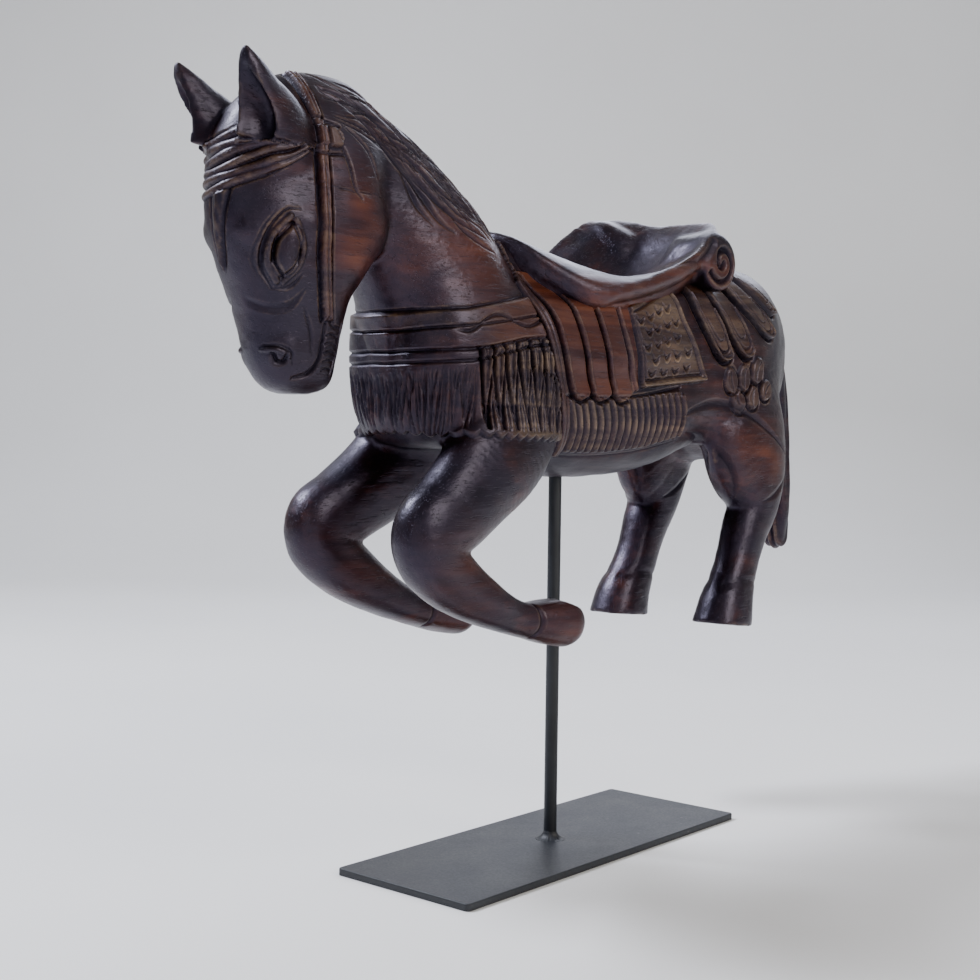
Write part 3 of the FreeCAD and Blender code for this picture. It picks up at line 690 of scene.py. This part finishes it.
def wear_and_painted_shade(c, p, n, on, body):
    """Brown where hands have worn the stain, painted shade on the torso's downward faces and the middle of the
    belly, and painted shade on the forward faces of the ears.
    """
    x, y, z = np.abs(p[:, 0]), p[:, 1], p[:, 2]
    worn = np.zeros(len(p))
    for strength, centre, spread, where in (
        (0.95, (-92, 262), (26, 15), on["neck"]),
        (1.0, (-148, 262), (11, 20), on["head"]),
        (0.7, (118, 184), (24, 16), body),
        (0.55, (-98, 134), (26, 16), True),
        (0.7, (-40, 108), (18, 12), True),
    ):
        worn = np.maximum(worn, strength * patch(y, z, centre, spread) * where)
    c.red = np.maximum(c.red, worn * (0.75 + 0.5 * noise3(p * (1, 0.5, 1), 7, 41)))
    # Painted shade: the torso's downward faces low down, and the middle of the belly ahead of the hind legs,
    # are darkened through the cut mark.
    painted_underside_shade = smooth(-0.35, -0.85, n[:, 2]) * smooth(206, 196, z) * on["torso"]
    painted_underside_shade = np.maximum(painted_underside_shade, smooth(16, 8, x) * smooth(204, 196, z) * smooth(60, 90, y) * body)
    c.cut = np.maximum(c.cut, 1.1 * painted_underside_shade)
    # Painted shade: the ears' forward-facing sides are darkened through the cut mark.
    c.cut = np.maximum(c.cut, 1.2 * on["left_ear"] * smooth(-0.25, -0.6, n[:, 1]))


def body_relief(p, n, part):
    """(height, cut, gold, red) of the carving at each point of the body."""
    x, y, z = np.abs(p[:, 0]), p[:, 1], p[:, 2]
    on = {name: part == k for k, name in enumerate(PARTS)}
    body = on["torso"] | on["hind_leg"] | on["front_leg"]
    # The right side repeats the left with the drift of a second go by hand.
    mirrored = p[:, 0] < 0
    ya = y + np.where(mirrored, 0.7 * noise3(p, 20, 5), 0)
    za = z + np.where(mirrored, 0.7 * noise3(p, 20, 6), 0)
    facing = np.abs(n[:, 0])
    c = Carving(len(p))
    c.add(*side_relief().sample(ya, za), smooth(0.12, 0.42, facing) * (body | on["head"]) * (y > -199))
    maned = on["neck"] | (on["head"] & (y > -160) & (z > 285))
    c.add(*mane_relief().sample(ya, za), smooth(0.05, 0.3, facing) * maned)
    collar_and_fringe(c, p, on)
    brow_and_forelock(c, p, on["head"])
    wear_and_painted_shade(c, p, n, on, body)
    # Knife marks and slow waves of hand work over everything.
    c.height = c.height + 0.09 * noise3(p * (1, 0.45, 1), 3.4, 11) + 0.14 * noise3(p, 8.5, 12)
    ribs = np.sin(p[:, 0] * 1.75 + 0.06 * z + 0.8 * noise3(p * (1, 1, 0.2), 6, 14))
    tail = on["tail"] * smooth(255, 235, z)
    c.height = c.height + 0.75 * ribs * tail
    c.cut = np.maximum(c.cut, 0.8 * np.clip(-ribs, 0, 1) * tail)
    bore = smooth(9, 6, np.hypot(x, y)) * smooth(222, 216, z)
    return c.height * (1 - bore), c.cut, c.gold, c.red


def saddle_relief(p, n):
    """(height, cut, gold, red) of the saddle: its scrolls, hollowed rim and knife marks."""
    x, y, z = np.abs(p[:, 0]), p[:, 1], p[:, 2]
    r = Relief((56, 252), (104, 304), 0.2)
    t = np.linspace(0, 1, 40)
    radius, turn = 9.6 * (1 - t) + 1.2, -2.6 + t * 8.2
    spiral = np.stack([radius * np.cos(turn), radius * np.sin(turn)], 1) + SCROLL
    r.groove(spiral, 2.2, 3.0, 0.0, per=1)
    rim = [(-36, 257), (-21, 250.8), (0, 253.8), (20, 258.5), (35, 263.5), (51, 269.5), (64, 276), (70, 282)]
    r.groove(rim, 3.4, 1.5)
    height, cut, gold, _ = r.sample(y, z)
    outward = smooth(0.35, 0.7, np.abs(n[:, 0]))
    face = outward * smooth(29, 32, x)
    marks = 0.14 * noise3(p * (1, 0.45, 1), 3.4, 21) + 0.12 * noise3(p, 7.5, 22)
    red = 0.75 * outward * smooth(30, 34, x) * smooth(-40, -20, y) * smooth(282, 272, z)
    return height * face + marks, cut * face, gold * face, red


# ---------------------------------------------------------------- pieces
PARTS = ["torso", "neck", "head", "left_ear", "front_leg", "hind_leg", "tail"]
NODES_OF = {  # the parts that are a left and a right piece
    "left_ear": ("left_ear", "right_ear"),
    "front_leg": ("front_left_leg", "front_right_leg"),
    "hind_leg": ("hind_left_leg", "hind_right_leg"),
}


def forms():
    """The fields of the parts, in the order of PARTS, before they are joined."""
    trunk = slices("Y", TRUNK, 2.6)
    croup = [(70, 228, 30, 28, 0), (120, 240, 34, 27, 0), (150, 238, 30, 22, 0)]
    groin = [(106, 203, 14, 16, 7), (125, 195, 14, 14, 10), (140, 190, 12, 12, 12)]
    # The folded blanket squares the flanks off under the saddle.
    blanket = [(-40, 233, 14, 31, 0), (-10, 235, 16.5, 33.5, 0), (30, 238, 18, 34, 0), (70, 246, 18, 32, 0)]
    withers = [(-75, 262, 12, 12, 0), (-52, 258, 16, 16, 0), (-36, 246, 14, 20, 0)]
    for rows, power, blend in ((croup, 2.3, 10), (groin, 2.3, 8), (blanket, 4.5, 7), (withers, 2.3, 8)):
        trunk = union(trunk, limb(rows, power), blend)
    head = slices("Z", HEAD, 2.45, 0.16)
    jowl = [(-150, 262, 20, 19, 0), (-140, 268, 17, 19, 0)]
    brow = [(-190, 262, 3.6, 3, 11.0), (-181, 268.5, 3.8, 3, 15.5), (-172, 266, 3.2, 2.6, 18.5)]
    nostril = [(-175.5, 218.5, 3.6, 2.8, 7.2), (-172.5, 220.5, 3.4, 2.8, 8.6)]
    ear_root = [(-184, 288, 6.5, 5.6, 14.2), (-177, 290, 6.5, 6, 14.7)]
    for rows, power, blend in ((jowl, 2.5, 6), (brow, 2.3, 4), (nostril, 2.3, 3), (ear_root, 2.3, 3)):
        head = union(head, limb(rows, power), blend)
    front = limb(FRONT)
    sole = 0.36 * (Y + 38) + 0.93 * (Z - 119.5)
    end = 0.9 * (Y + 24.5) + 0.43 * (Z - 106)
    hoof = (Y > -66) & (Z < 130)
    front = np.where(hoof, np.maximum(front, np.maximum(sole, end) * 0.9), front)
    ground = 98.7 - 0.095 * (Y - 84) - Z
    hind = np.maximum(limb(HIND), ground)
    return [trunk, limb(NECK, 2.15), head, build_ear(), front, hind, limb(TAIL, 2.2)]


JOIN = [0, 5, 2.5, 3.0, 6, 7, 3.5]  # how softly each part blends into those before it, mm


def build_body():
    """The joined field with the rod's bore, and the part that owns each cell."""
    fields = forms()
    body = fields[0]
    for field, blend in zip(fields[1:], JOIN[1:]):
        body = union(body, field, blend)
    owner = np.argmin(np.stack(fields), axis=0).astype(np.int8)
    socket = -(np.hypot(X, Y) - 4.2) - np.maximum(0, Z - 215.5) * 2
    return np.maximum(body, socket), owner


def owner_at(owner, p):
    """The part that owns each point's cell."""
    place = np.stack([np.abs(p[:, 0]), p[:, 1], p[:, 2]], 1)
    i, j, k = np.clip(np.rint((place - LOW) / CELL), 0, np.array(COUNT) - 1).astype(int).T
    return owner[i, j, k].astype(int)


def tidy_islands(part, quads, count):
    """Gives each vertex the part that most of its neighbours have, a few times over."""
    a, b = edges_of(quads).T
    for _ in range(6):
        votes = np.zeros((len(part), count), np.int32)
        np.add.at(votes, (a, part[b]), 1)
        np.add.at(votes, (b, part[a]), 1)
        part = votes.argmax(1)
    return part


def marks_of(cut, gold, red):
    """The drivers of the stain, the rubbed wear and the painted shade, 0 to 1 at each point."""
    return {"cut": np.clip(cut / 1.6, 0, 1), "gold": np.clip(gold, 0, 1), "red": np.clip(red, 0, 1)}


def closed_piece(node, p, quads, normals, marks):
    """A carved piece in place of a node: the given quads and normals, and a cap over each open edge."""
    used, local = np.unique(quads, return_inverse=True)
    local = local.reshape(-1, 4)
    points, shade = p[used], normals[used]
    edges = edges_of(local).astype(np.int64)
    key = edges[:, 0] * len(used) + edges[:, 1]
    back = edges[:, 1] * len(used) + edges[:, 0]
    following = {}
    for a, b in edges[~np.isin(key, back)]:
        following.setdefault(int(b), []).append(int(a))
    caps, centres = [], []
    while following:
        start = next(iter(following))
        loop, here = [start], start
        while True:
            ahead = following[here].pop()
            if not following[here]:
                del following[here]
            if ahead == start:
                break
            loop.append(ahead)
            here = ahead
            if here not in following:
                break
        ring = points[loop]
        middle = ring.mean(0)
        centres.append(middle)
        apex = len(used) + len(centres) - 1
        caps += [(loop[k], loop[(k + 1) % len(loop)], apex) for k in range(len(loop))]
    if centres:
        points = np.vstack([points, centres])
        shade = np.vstack([shade, np.tile((0.0, 0.0, 1.0), (len(centres), 1))])
    mesh = bpy.data.meshes.new(f"carved_{node}")
    mesh.from_pydata((points * MM).tolist(), [], local.tolist() + caps)
    mesh.shade_smooth()
    loops = np.empty(len(mesh.loops), np.int32)
    mesh.loops.foreach_get("vertex_index", loops)
    mesh.normals_split_custom_set(shade[loops].tolist())
    for label, values in marks.items():
        layer = mesh.attributes.new(label, "FLOAT", "POINT")
        full = np.zeros(len(points), np.float32)
        full[: len(used)] = values[used]
        layer.data.foreach_set("value", full)
    mesh.materials.append(wood)
    piece = link(f"carved_{node}", mesh)
    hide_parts(node)
    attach(piece, "carving")


# ---------------------------------------------------------------- materials
class Shader:
    """Short words for building node trees."""

    def __init__(self, name):
        self.material = bpy.data.materials.new(name)
        self.material.use_nodes = True
        self.tree = self.material.node_tree
        self.tree.nodes.clear()
        self.out = self.tree.nodes.new("ShaderNodeOutputMaterial")
        self.body = self.tree.nodes.new("ShaderNodeBsdfPrincipled")
        self.tree.links.new(self.body.outputs[0], self.out.inputs[0])

    def put(self, value, socket):
        if isinstance(value, bpy.types.NodeSocket):
            self.tree.links.new(value, socket)
        else:
            socket.default_value = value

    def node(self, kind, inputs=(), **settings):
        node = self.tree.nodes.new(kind)
        for key, value in settings.items():
            setattr(node, key, value)
        for key, value in dict(inputs).items():
            self.put(value, node.inputs[key])
        return node

    def attribute(self, name):
        return self.node("ShaderNodeAttribute", attribute_name=name).outputs["Fac"]

    def place(self, x=1, y=1, z=None):
        """Object coordinates scaled along each axis; z as x unless given."""
        coords = self.node("ShaderNodeTexCoord").outputs["Object"]
        scale = (x, y, x if z is None else z)
        return self.node("ShaderNodeMapping", {"Vector": coords, "Scale": scale}).outputs[0]

    def noise(self, where, scale, detail=4.0, rough=0.55, warp=0.0):
        inputs = {"Vector": where, "Scale": scale, "Detail": detail, "Roughness": rough, "Distortion": warp}
        return self.node("ShaderNodeTexNoise", inputs).outputs[0]

    def range(self, value, low, high, to_low=0.0, to_high=1.0):
        inputs = {"Value": value, "From Min": low, "From Max": high, "To Min": to_low, "To Max": to_high}
        return self.node("ShaderNodeMapRange", inputs).outputs[0]

    def math(self, kind, a, b=0.0, clamp=False):
        return self.node("ShaderNodeMath", {0: a, 1: b}, operation=kind, use_clamp=clamp).outputs[0]

    def mix(self, factor, a, b, blend="MIX"):
        node = self.node("ShaderNodeMix", data_type="RGBA", blend_type=blend)
        self.put(factor, node.inputs[0])
        self.put(a, node.inputs[6])
        self.put(b, node.inputs[7])
        return node.outputs[2]

    def grey(self, value):
        return self.node("ShaderNodeCombineColor", {0: value, 1: value, 2: value}).outputs[0]

    def bump(self, height, strength, distance, normal=None):
        node = self.node("ShaderNodeBump", {"Height": height, "Strength": strength, "Distance": distance})
        if normal is not None:
            self.put(normal, node.inputs["Normal"])
        return node.outputs[0]

    def finish(self, **inputs):
        for key, value in inputs.items():
            self.put(value, self.body.inputs[key.replace("_", " ")])
        return self.material


def stained_wood():
    """Near-black stain over brown wood, waxed, and rubbed back to brown and tan on the high spots."""
    s = Shader("stained_wood")
    grain = s.noise(s.place(260, 14), 1.0, 6.0, 0.62, 0.5)
    band = s.noise(s.place(60, 3.2), 1.0, 3.0, 0.5, 1.2)
    pores = s.range(s.noise(s.place(1500, 110), 1.0, 2.0, 0.5), 0.60, 0.72)
    patches = s.noise(s.place(22, 16), 1.0, 4.0, 0.6, 0.8)
    blotch = s.noise(s.place(55, 38), 1.0, 3.0, 0.6)
    stain = (0.0055, 0.0038, 0.0040, 1)
    walnut = (0.022, 0.0080, 0.0052, 1)
    rust = (0.120, 0.036, 0.0150, 1)
    tan = (0.23, 0.155, 0.088, 1)
    violet = (0.0105, 0.0085, 0.0135, 1)
    base = s.mix(s.range(patches, 0.36, 0.66), stain, walnut)
    base = s.mix(s.range(blotch, 0.42, 0.62, 0.0, 0.55), base, violet)
    red = s.math("MULTIPLY", s.attribute("red"), s.range(band, 0.34, 0.62, 0.35, 1.0))
    patch_red = s.math("MULTIPLY", s.range(patches, 0.50, 0.66), s.range(grain, 0.36, 0.62))
    red = s.math("MAXIMUM", red, s.math("MULTIPLY", patch_red, 0.30))
    base = s.mix(s.math("MULTIPLY", red, 1.0, True), base, rust)
    rub = s.math("MULTIPLY", s.attribute("gold"), s.range(grain, 0.34, 0.62, 0.30, 0.95))
    rub = s.math("MULTIPLY", rub, s.range(blotch, 0.36, 0.62, 0.35, 1.0))
    base = s.mix(s.math("MULTIPLY", rub, 0.9, True), base, tan)
    streak = s.range(grain, 0.38, 0.60, 0.65, 1.2)
    base = s.mix(1.0, base, s.grey(streak), "MULTIPLY")
    # Darker where the cut mark is high: stain in the grooves and creases, and painted shade on the undersides,
    # the chest front and the ears.
    shade = s.math("SUBTRACT", 1.0, s.math("MULTIPLY", s.attribute("cut"), 0.85, True), True)
    shade = s.math("MULTIPLY", shade, s.range(pores, 0.0, 1.0, 1.0, 0.55))
    base = s.mix(1.0, base, s.grey(shade), "MULTIPLY")
    rough = s.range(blotch, 0.3, 0.7, 0.31, 0.46)
    rough = s.math("ADD", rough, s.math("MULTIPLY", s.attribute("cut"), 0.25))
    height = s.math("SUBTRACT", s.math("MULTIPLY", grain, 0.7), s.math("MULTIPLY", pores, 0.4))
    normal = s.bump(height, 0.55, 0.0006)
    normal = s.bump(s.noise(s.place(420, 300), 1.0, 3.0, 0.6), 0.22, 0.0005, normal)
    return s.finish(
        Base_Color=base,
        Roughness=rough,
        Normal=normal,
        Specular_IOR_Level=0.5,
        # Painted reflection: the highlights are tinted violet-blue, the colour of a bluish sky.
        Specular_Tint=(0.76, 0.68, 1.0, 1),
        Coat_Weight=0.12,
        Coat_Roughness=0.32,
    )


def black_paint():
    """Satin black with a few pale specks."""
    s = Shader("black_paint")
    fine = s.noise(s.place(), 900.0, 3.0, 0.6)
    wide = s.noise(s.place(), 28.0, 4.0, 0.6)
    specks = s.range(s.noise(s.place(), 210.0, 2.0, 0.5), 0.73, 0.76)
    base = s.mix(s.range(wide, 0.35, 0.7), (0.012, 0.013, 0.016, 1), (0.026, 0.028, 0.033, 1))
    base = s.mix(s.math("MULTIPLY", specks, 0.35), base, (0.16, 0.16, 0.16, 1))
    rough = s.math("ADD", s.range(wide, 0.3, 0.7, 0.40, 0.54), s.range(fine, 0.3, 0.7, -0.04, 0.06))
    return s.finish(Base_Color=base, Roughness=rough, Metallic=0.15, Normal=s.bump(fine, 0.12, 0.0002))


def drawn_steel():
    s = Shader("drawn_steel")
    lines = s.noise(s.place(900, 900, 12), 1.0, 3.0, 0.5)
    base = s.mix(s.range(lines, 0.3, 0.7), (0.36, 0.36, 0.37, 1), (0.52, 0.52, 0.53, 1))
    return s.finish(Base_Color=base, Roughness=s.range(lines, 0.3, 0.7, 0.28, 0.42), Metallic=1.0)


def plain_wood():
    s = Shader("dowel_wood")
    grain = s.noise(s.place(500, 500, 20), 1.0, 4.0, 0.6)
    base = s.mix(s.range(grain, 0.3, 0.7), (0.34, 0.20, 0.10, 1), (0.48, 0.31, 0.17, 1))
    return s.finish(Base_Color=base, Roughness=0.6, Normal=s.bump(grain, 0.2, 0.0003))


def pale_floor():
    s = Shader("pale_floor")
    wide = s.noise(s.place(), 3.0, 4.0, 0.5)
    base = s.mix(s.range(wide, 0.3, 0.7), (0.83, 0.82, 0.80, 1), (0.87, 0.86, 0.84, 1))
    return s.finish(Base_Color=base, Roughness=0.6)


# ---------------------------------------------------------------- build
LEVELS = 1
wood = stained_wood()
paint = black_paint()


def carve_horse():
    """The body as one sculpture, cut into its blanks along the parts' borders."""
    field, owner = build_body()
    p, quads = polygons(field)
    _, y, z = p.T
    chest = smooth(-84, -94, y) * smooth(182, 190, z) * smooth(256, 246, z) * (y > -122)
    p = relax(p, quads, np.maximum(0.25, chest), 24)
    p, quads = refine(p, quads, LEVELS)
    part = tidy_islands(owner_at(owner, p), quads, len(PARTS))
    n = normals_of(p, quads)
    height, cut, gold, red = body_relief(p, n, part)
    p = asymmetry(p + n * height[:, None])
    n = normals_of(p, quads)
    cut, gold = wear(p, quads, n, cut, gold)
    _, y, z = p.T
    # Painted shade: less rubbed tan on the fringe at the front of the chest, so it stays dark there.
    gold *= 1 - 0.75 * smooth(-78, -96, y) * smooth(236, 228, z) * smooth(184, 192, z)
    cut *= 1 - 0.75 * patch(y, z, (-180, 256.5), (4.2, 8)) * (part == PARTS.index("head"))
    marks = marks_of(cut, gold, red)
    face_part = np.sort(part[quads], axis=1)[:, 1]
    left = p[quads].mean(1)[:, 0] >= 0
    for index, name in enumerate(PARTS):
        mask = face_part == index
        if name in NODES_OF:
            for node, side in zip(NODES_OF[name], (left, ~left)):
                closed_piece(node, p, quads[mask & side], n, marks)
        else:
            closed_piece(name, p, quads[mask], n, marks)


def carve_saddle():
    """The saddle; the right end of its cantle stands higher than the left."""
    p, quads = polygons(build_saddle())
    p = relax(p, quads, np.ones(len(p)), 12)
    p, quads = refine(p, quads, LEVELS)
    n = normals_of(p, quads)
    height, cut, gold, red = saddle_relief(p, n)
    p = p + n * height[:, None]
    x, y, z = p.T
    raised = np.interp(y, (6, 24, 42, 52, 62, 72, 83, 96), (0, 3.5, 9, 12.5, 14, 11.5, 8, 3))
    p[:, 2] = z + raised * smooth(-4, -30, x) * smooth(250, 270, z)
    n = normals_of(p, quads)
    cut, gold = wear(p, quads, n, cut, gold)
    closed_piece("saddle", p, quads, n, marks_of(cut, gold, red))


def paint_node(node, material):
    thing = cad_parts[node]
    thing.data.materials.clear()
    thing.data.materials.append(material)


def weld():
    """A fused bead round the rod's foot with a concave, slightly rippled face."""
    low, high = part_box("weld_bead")
    foot, leg = low.z / MM, (high.z - low.z) / MM
    rod, inner = 3.0, 2.9  # the rod's radius, and the bead's hidden face just inside it
    rows, around = 14, 96
    verts, faces = [], []
    for turn in 2 * math.pi * np.arange(around) / around:
        ripple = 1.0 + 0.05 * math.sin(9 * turn) + 0.04 * math.sin(23 * turn + 1.0)
        profile = []
        for t in np.linspace(0, math.pi / 2, rows):
            out = rod + leg * 1.1 * ripple * (1 - math.sin(t)) ** 0.9
            profile.append((out, foot + leg * ripple * (1 - math.cos(t)) ** 0.9))
        profile += [(inner, foot + leg * ripple), (inner, foot)]
        verts += [(r * math.cos(turn) * MM, r * math.sin(turn) * MM, z * MM) for r, z in profile]
    ring = rows + 2
    for i in range(around):
        here, ahead = i * ring, (i + 1) % around * ring
        for k in range(ring):
            m = (k + 1) % ring
            faces.append((here + k, ahead + k, ahead + m, here + m))
    mesh = bpy.data.meshes.new("weld")
    mesh.from_pydata(verts, [], faces)
    mesh.shade_smooth()
    mesh.materials.append(paint)
    piece = link("fused_weld", mesh)
    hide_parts("weld_bead")
    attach(piece, "stand")


carve_horse()
carve_saddle()
for node in ("base_plate", "support_rod"):
    paint_node(node, paint)
paint_node("socket_sleeve", drawn_steel())
dowel = plain_wood()
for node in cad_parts:
    if "dowel" in node:
        paint_node(node, dowel)
weld()

# ---------------------------------------------------------------- stage, light and camera
scene = bpy.context.scene
AZIMUTH, ELEVATION, ROLL = (math.radians(v) for v in (40.516, 2.082, 0.746))
LENS, SENSOR = 55.102041, 36.0  # mm
DISTANCE, SHIFT_RIGHT, SHIFT_UP = 0.696374, -0.029912, 0.164232  # camera from the origin, m


def lay_floor():
    """A pale floor that sweeps up into the backdrop."""
    back = Vector((0.6497, -0.7602, 0.0))
    across = Vector((0.7602, 0.6497, 0.0))
    far, radius, half_width, below = 1.15, 0.55, 9.0, 0.0002
    turns = np.linspace(0, math.pi / 2, 14)
    rows = [(-9, 0)] + [(far + radius * math.sin(t), radius * (1 - math.cos(t))) for t in turns]
    rows += [(far + radius, 3.2)]
    sides = (-half_width, half_width)
    verts = [tuple(across * s - back * r + Vector((0, 0, z - below))) for r, z in rows for s in sides]
    faces = [(2 * k, 2 * k + 1, 2 * k + 3, 2 * k + 2) for k in range(len(rows) - 1)]
    sweep = bpy.data.meshes.new("floor")
    sweep.from_pydata(verts, [], faces)
    sweep.shade_smooth()
    sweep.materials.append(pale_floor())
    return link("floor", sweep)


def area(name, where, wide, high, watts, colour):
    """A soft lamp that looks at the horse's middle."""
    light = bpy.data.lights.new(name, "AREA")
    light.shape, light.size, light.size_y = "RECTANGLE", wide, high
    light.energy, light.color = watts, colour
    lamp = link(name, light)
    lamp.location = where
    aim = Vector((0, 0, 0.2)) - Vector(where)
    lamp.rotation_euler = aim.to_track_quat("-Z", "Y").to_euler()
    return lamp


def set_camera():
    """The photo's angle: azimuth from -Y towards +X, then elevation, roll and a shift in the lens's plane."""
    level = math.cos(ELEVATION)
    away = Vector((math.sin(AZIMUTH) * level, -math.cos(AZIMUTH) * level, math.sin(ELEVATION)))
    right = Vector((math.cos(AZIMUTH), math.sin(AZIMUTH), 0.0))
    upward = away.cross(right)
    lens_right = right * math.cos(ROLL) + upward * math.sin(ROLL)
    lens_up = upward * math.cos(ROLL) - right * math.sin(ROLL)
    data = bpy.data.cameras.new("camera")
    data.sensor_width, data.lens = SENSOR, LENS
    camera = link("camera", data)
    place = away * DISTANCE + right * SHIFT_RIGHT + upward * SHIFT_UP
    turn = Matrix((lens_right, lens_up, away)).transposed().to_4x4()
    camera.matrix_world = Matrix.Translation(place) @ turn
    scene.camera = camera
    return camera


stage = [
    lay_floor(),
    area("key", (-0.8, -0.55, 1.3), 0.5, 0.5, 38, (0.84, 0.88, 1.0)),
    area("side", (1.3, 0.15, 0.85), 0.6, 0.9, 13, (1.0, 0.93, 0.84)),
    area("rear", (-0.45, 1.1, 1.0), 0.9, 0.7, 8, (0.80, 0.84, 1.0)),
    area("fill", (0.9, -1.3, 0.6), 1.2, 0.9, 2.4, (1.0, 0.98, 0.95)),
    set_camera(),
]
world = bpy.data.worlds.new("studio")
scene.world = world
world.use_nodes = True
sky = world.node_tree.nodes["Background"]
sky.inputs["Color"].default_value = (0.82, 0.86, 0.92, 1)
sky.inputs["Strength"].default_value = 0.32
scene.view_settings.view_transform = "AgX"
scene.view_settings.look = "AgX - Punchy"
scene.view_settings.exposure = 0.75
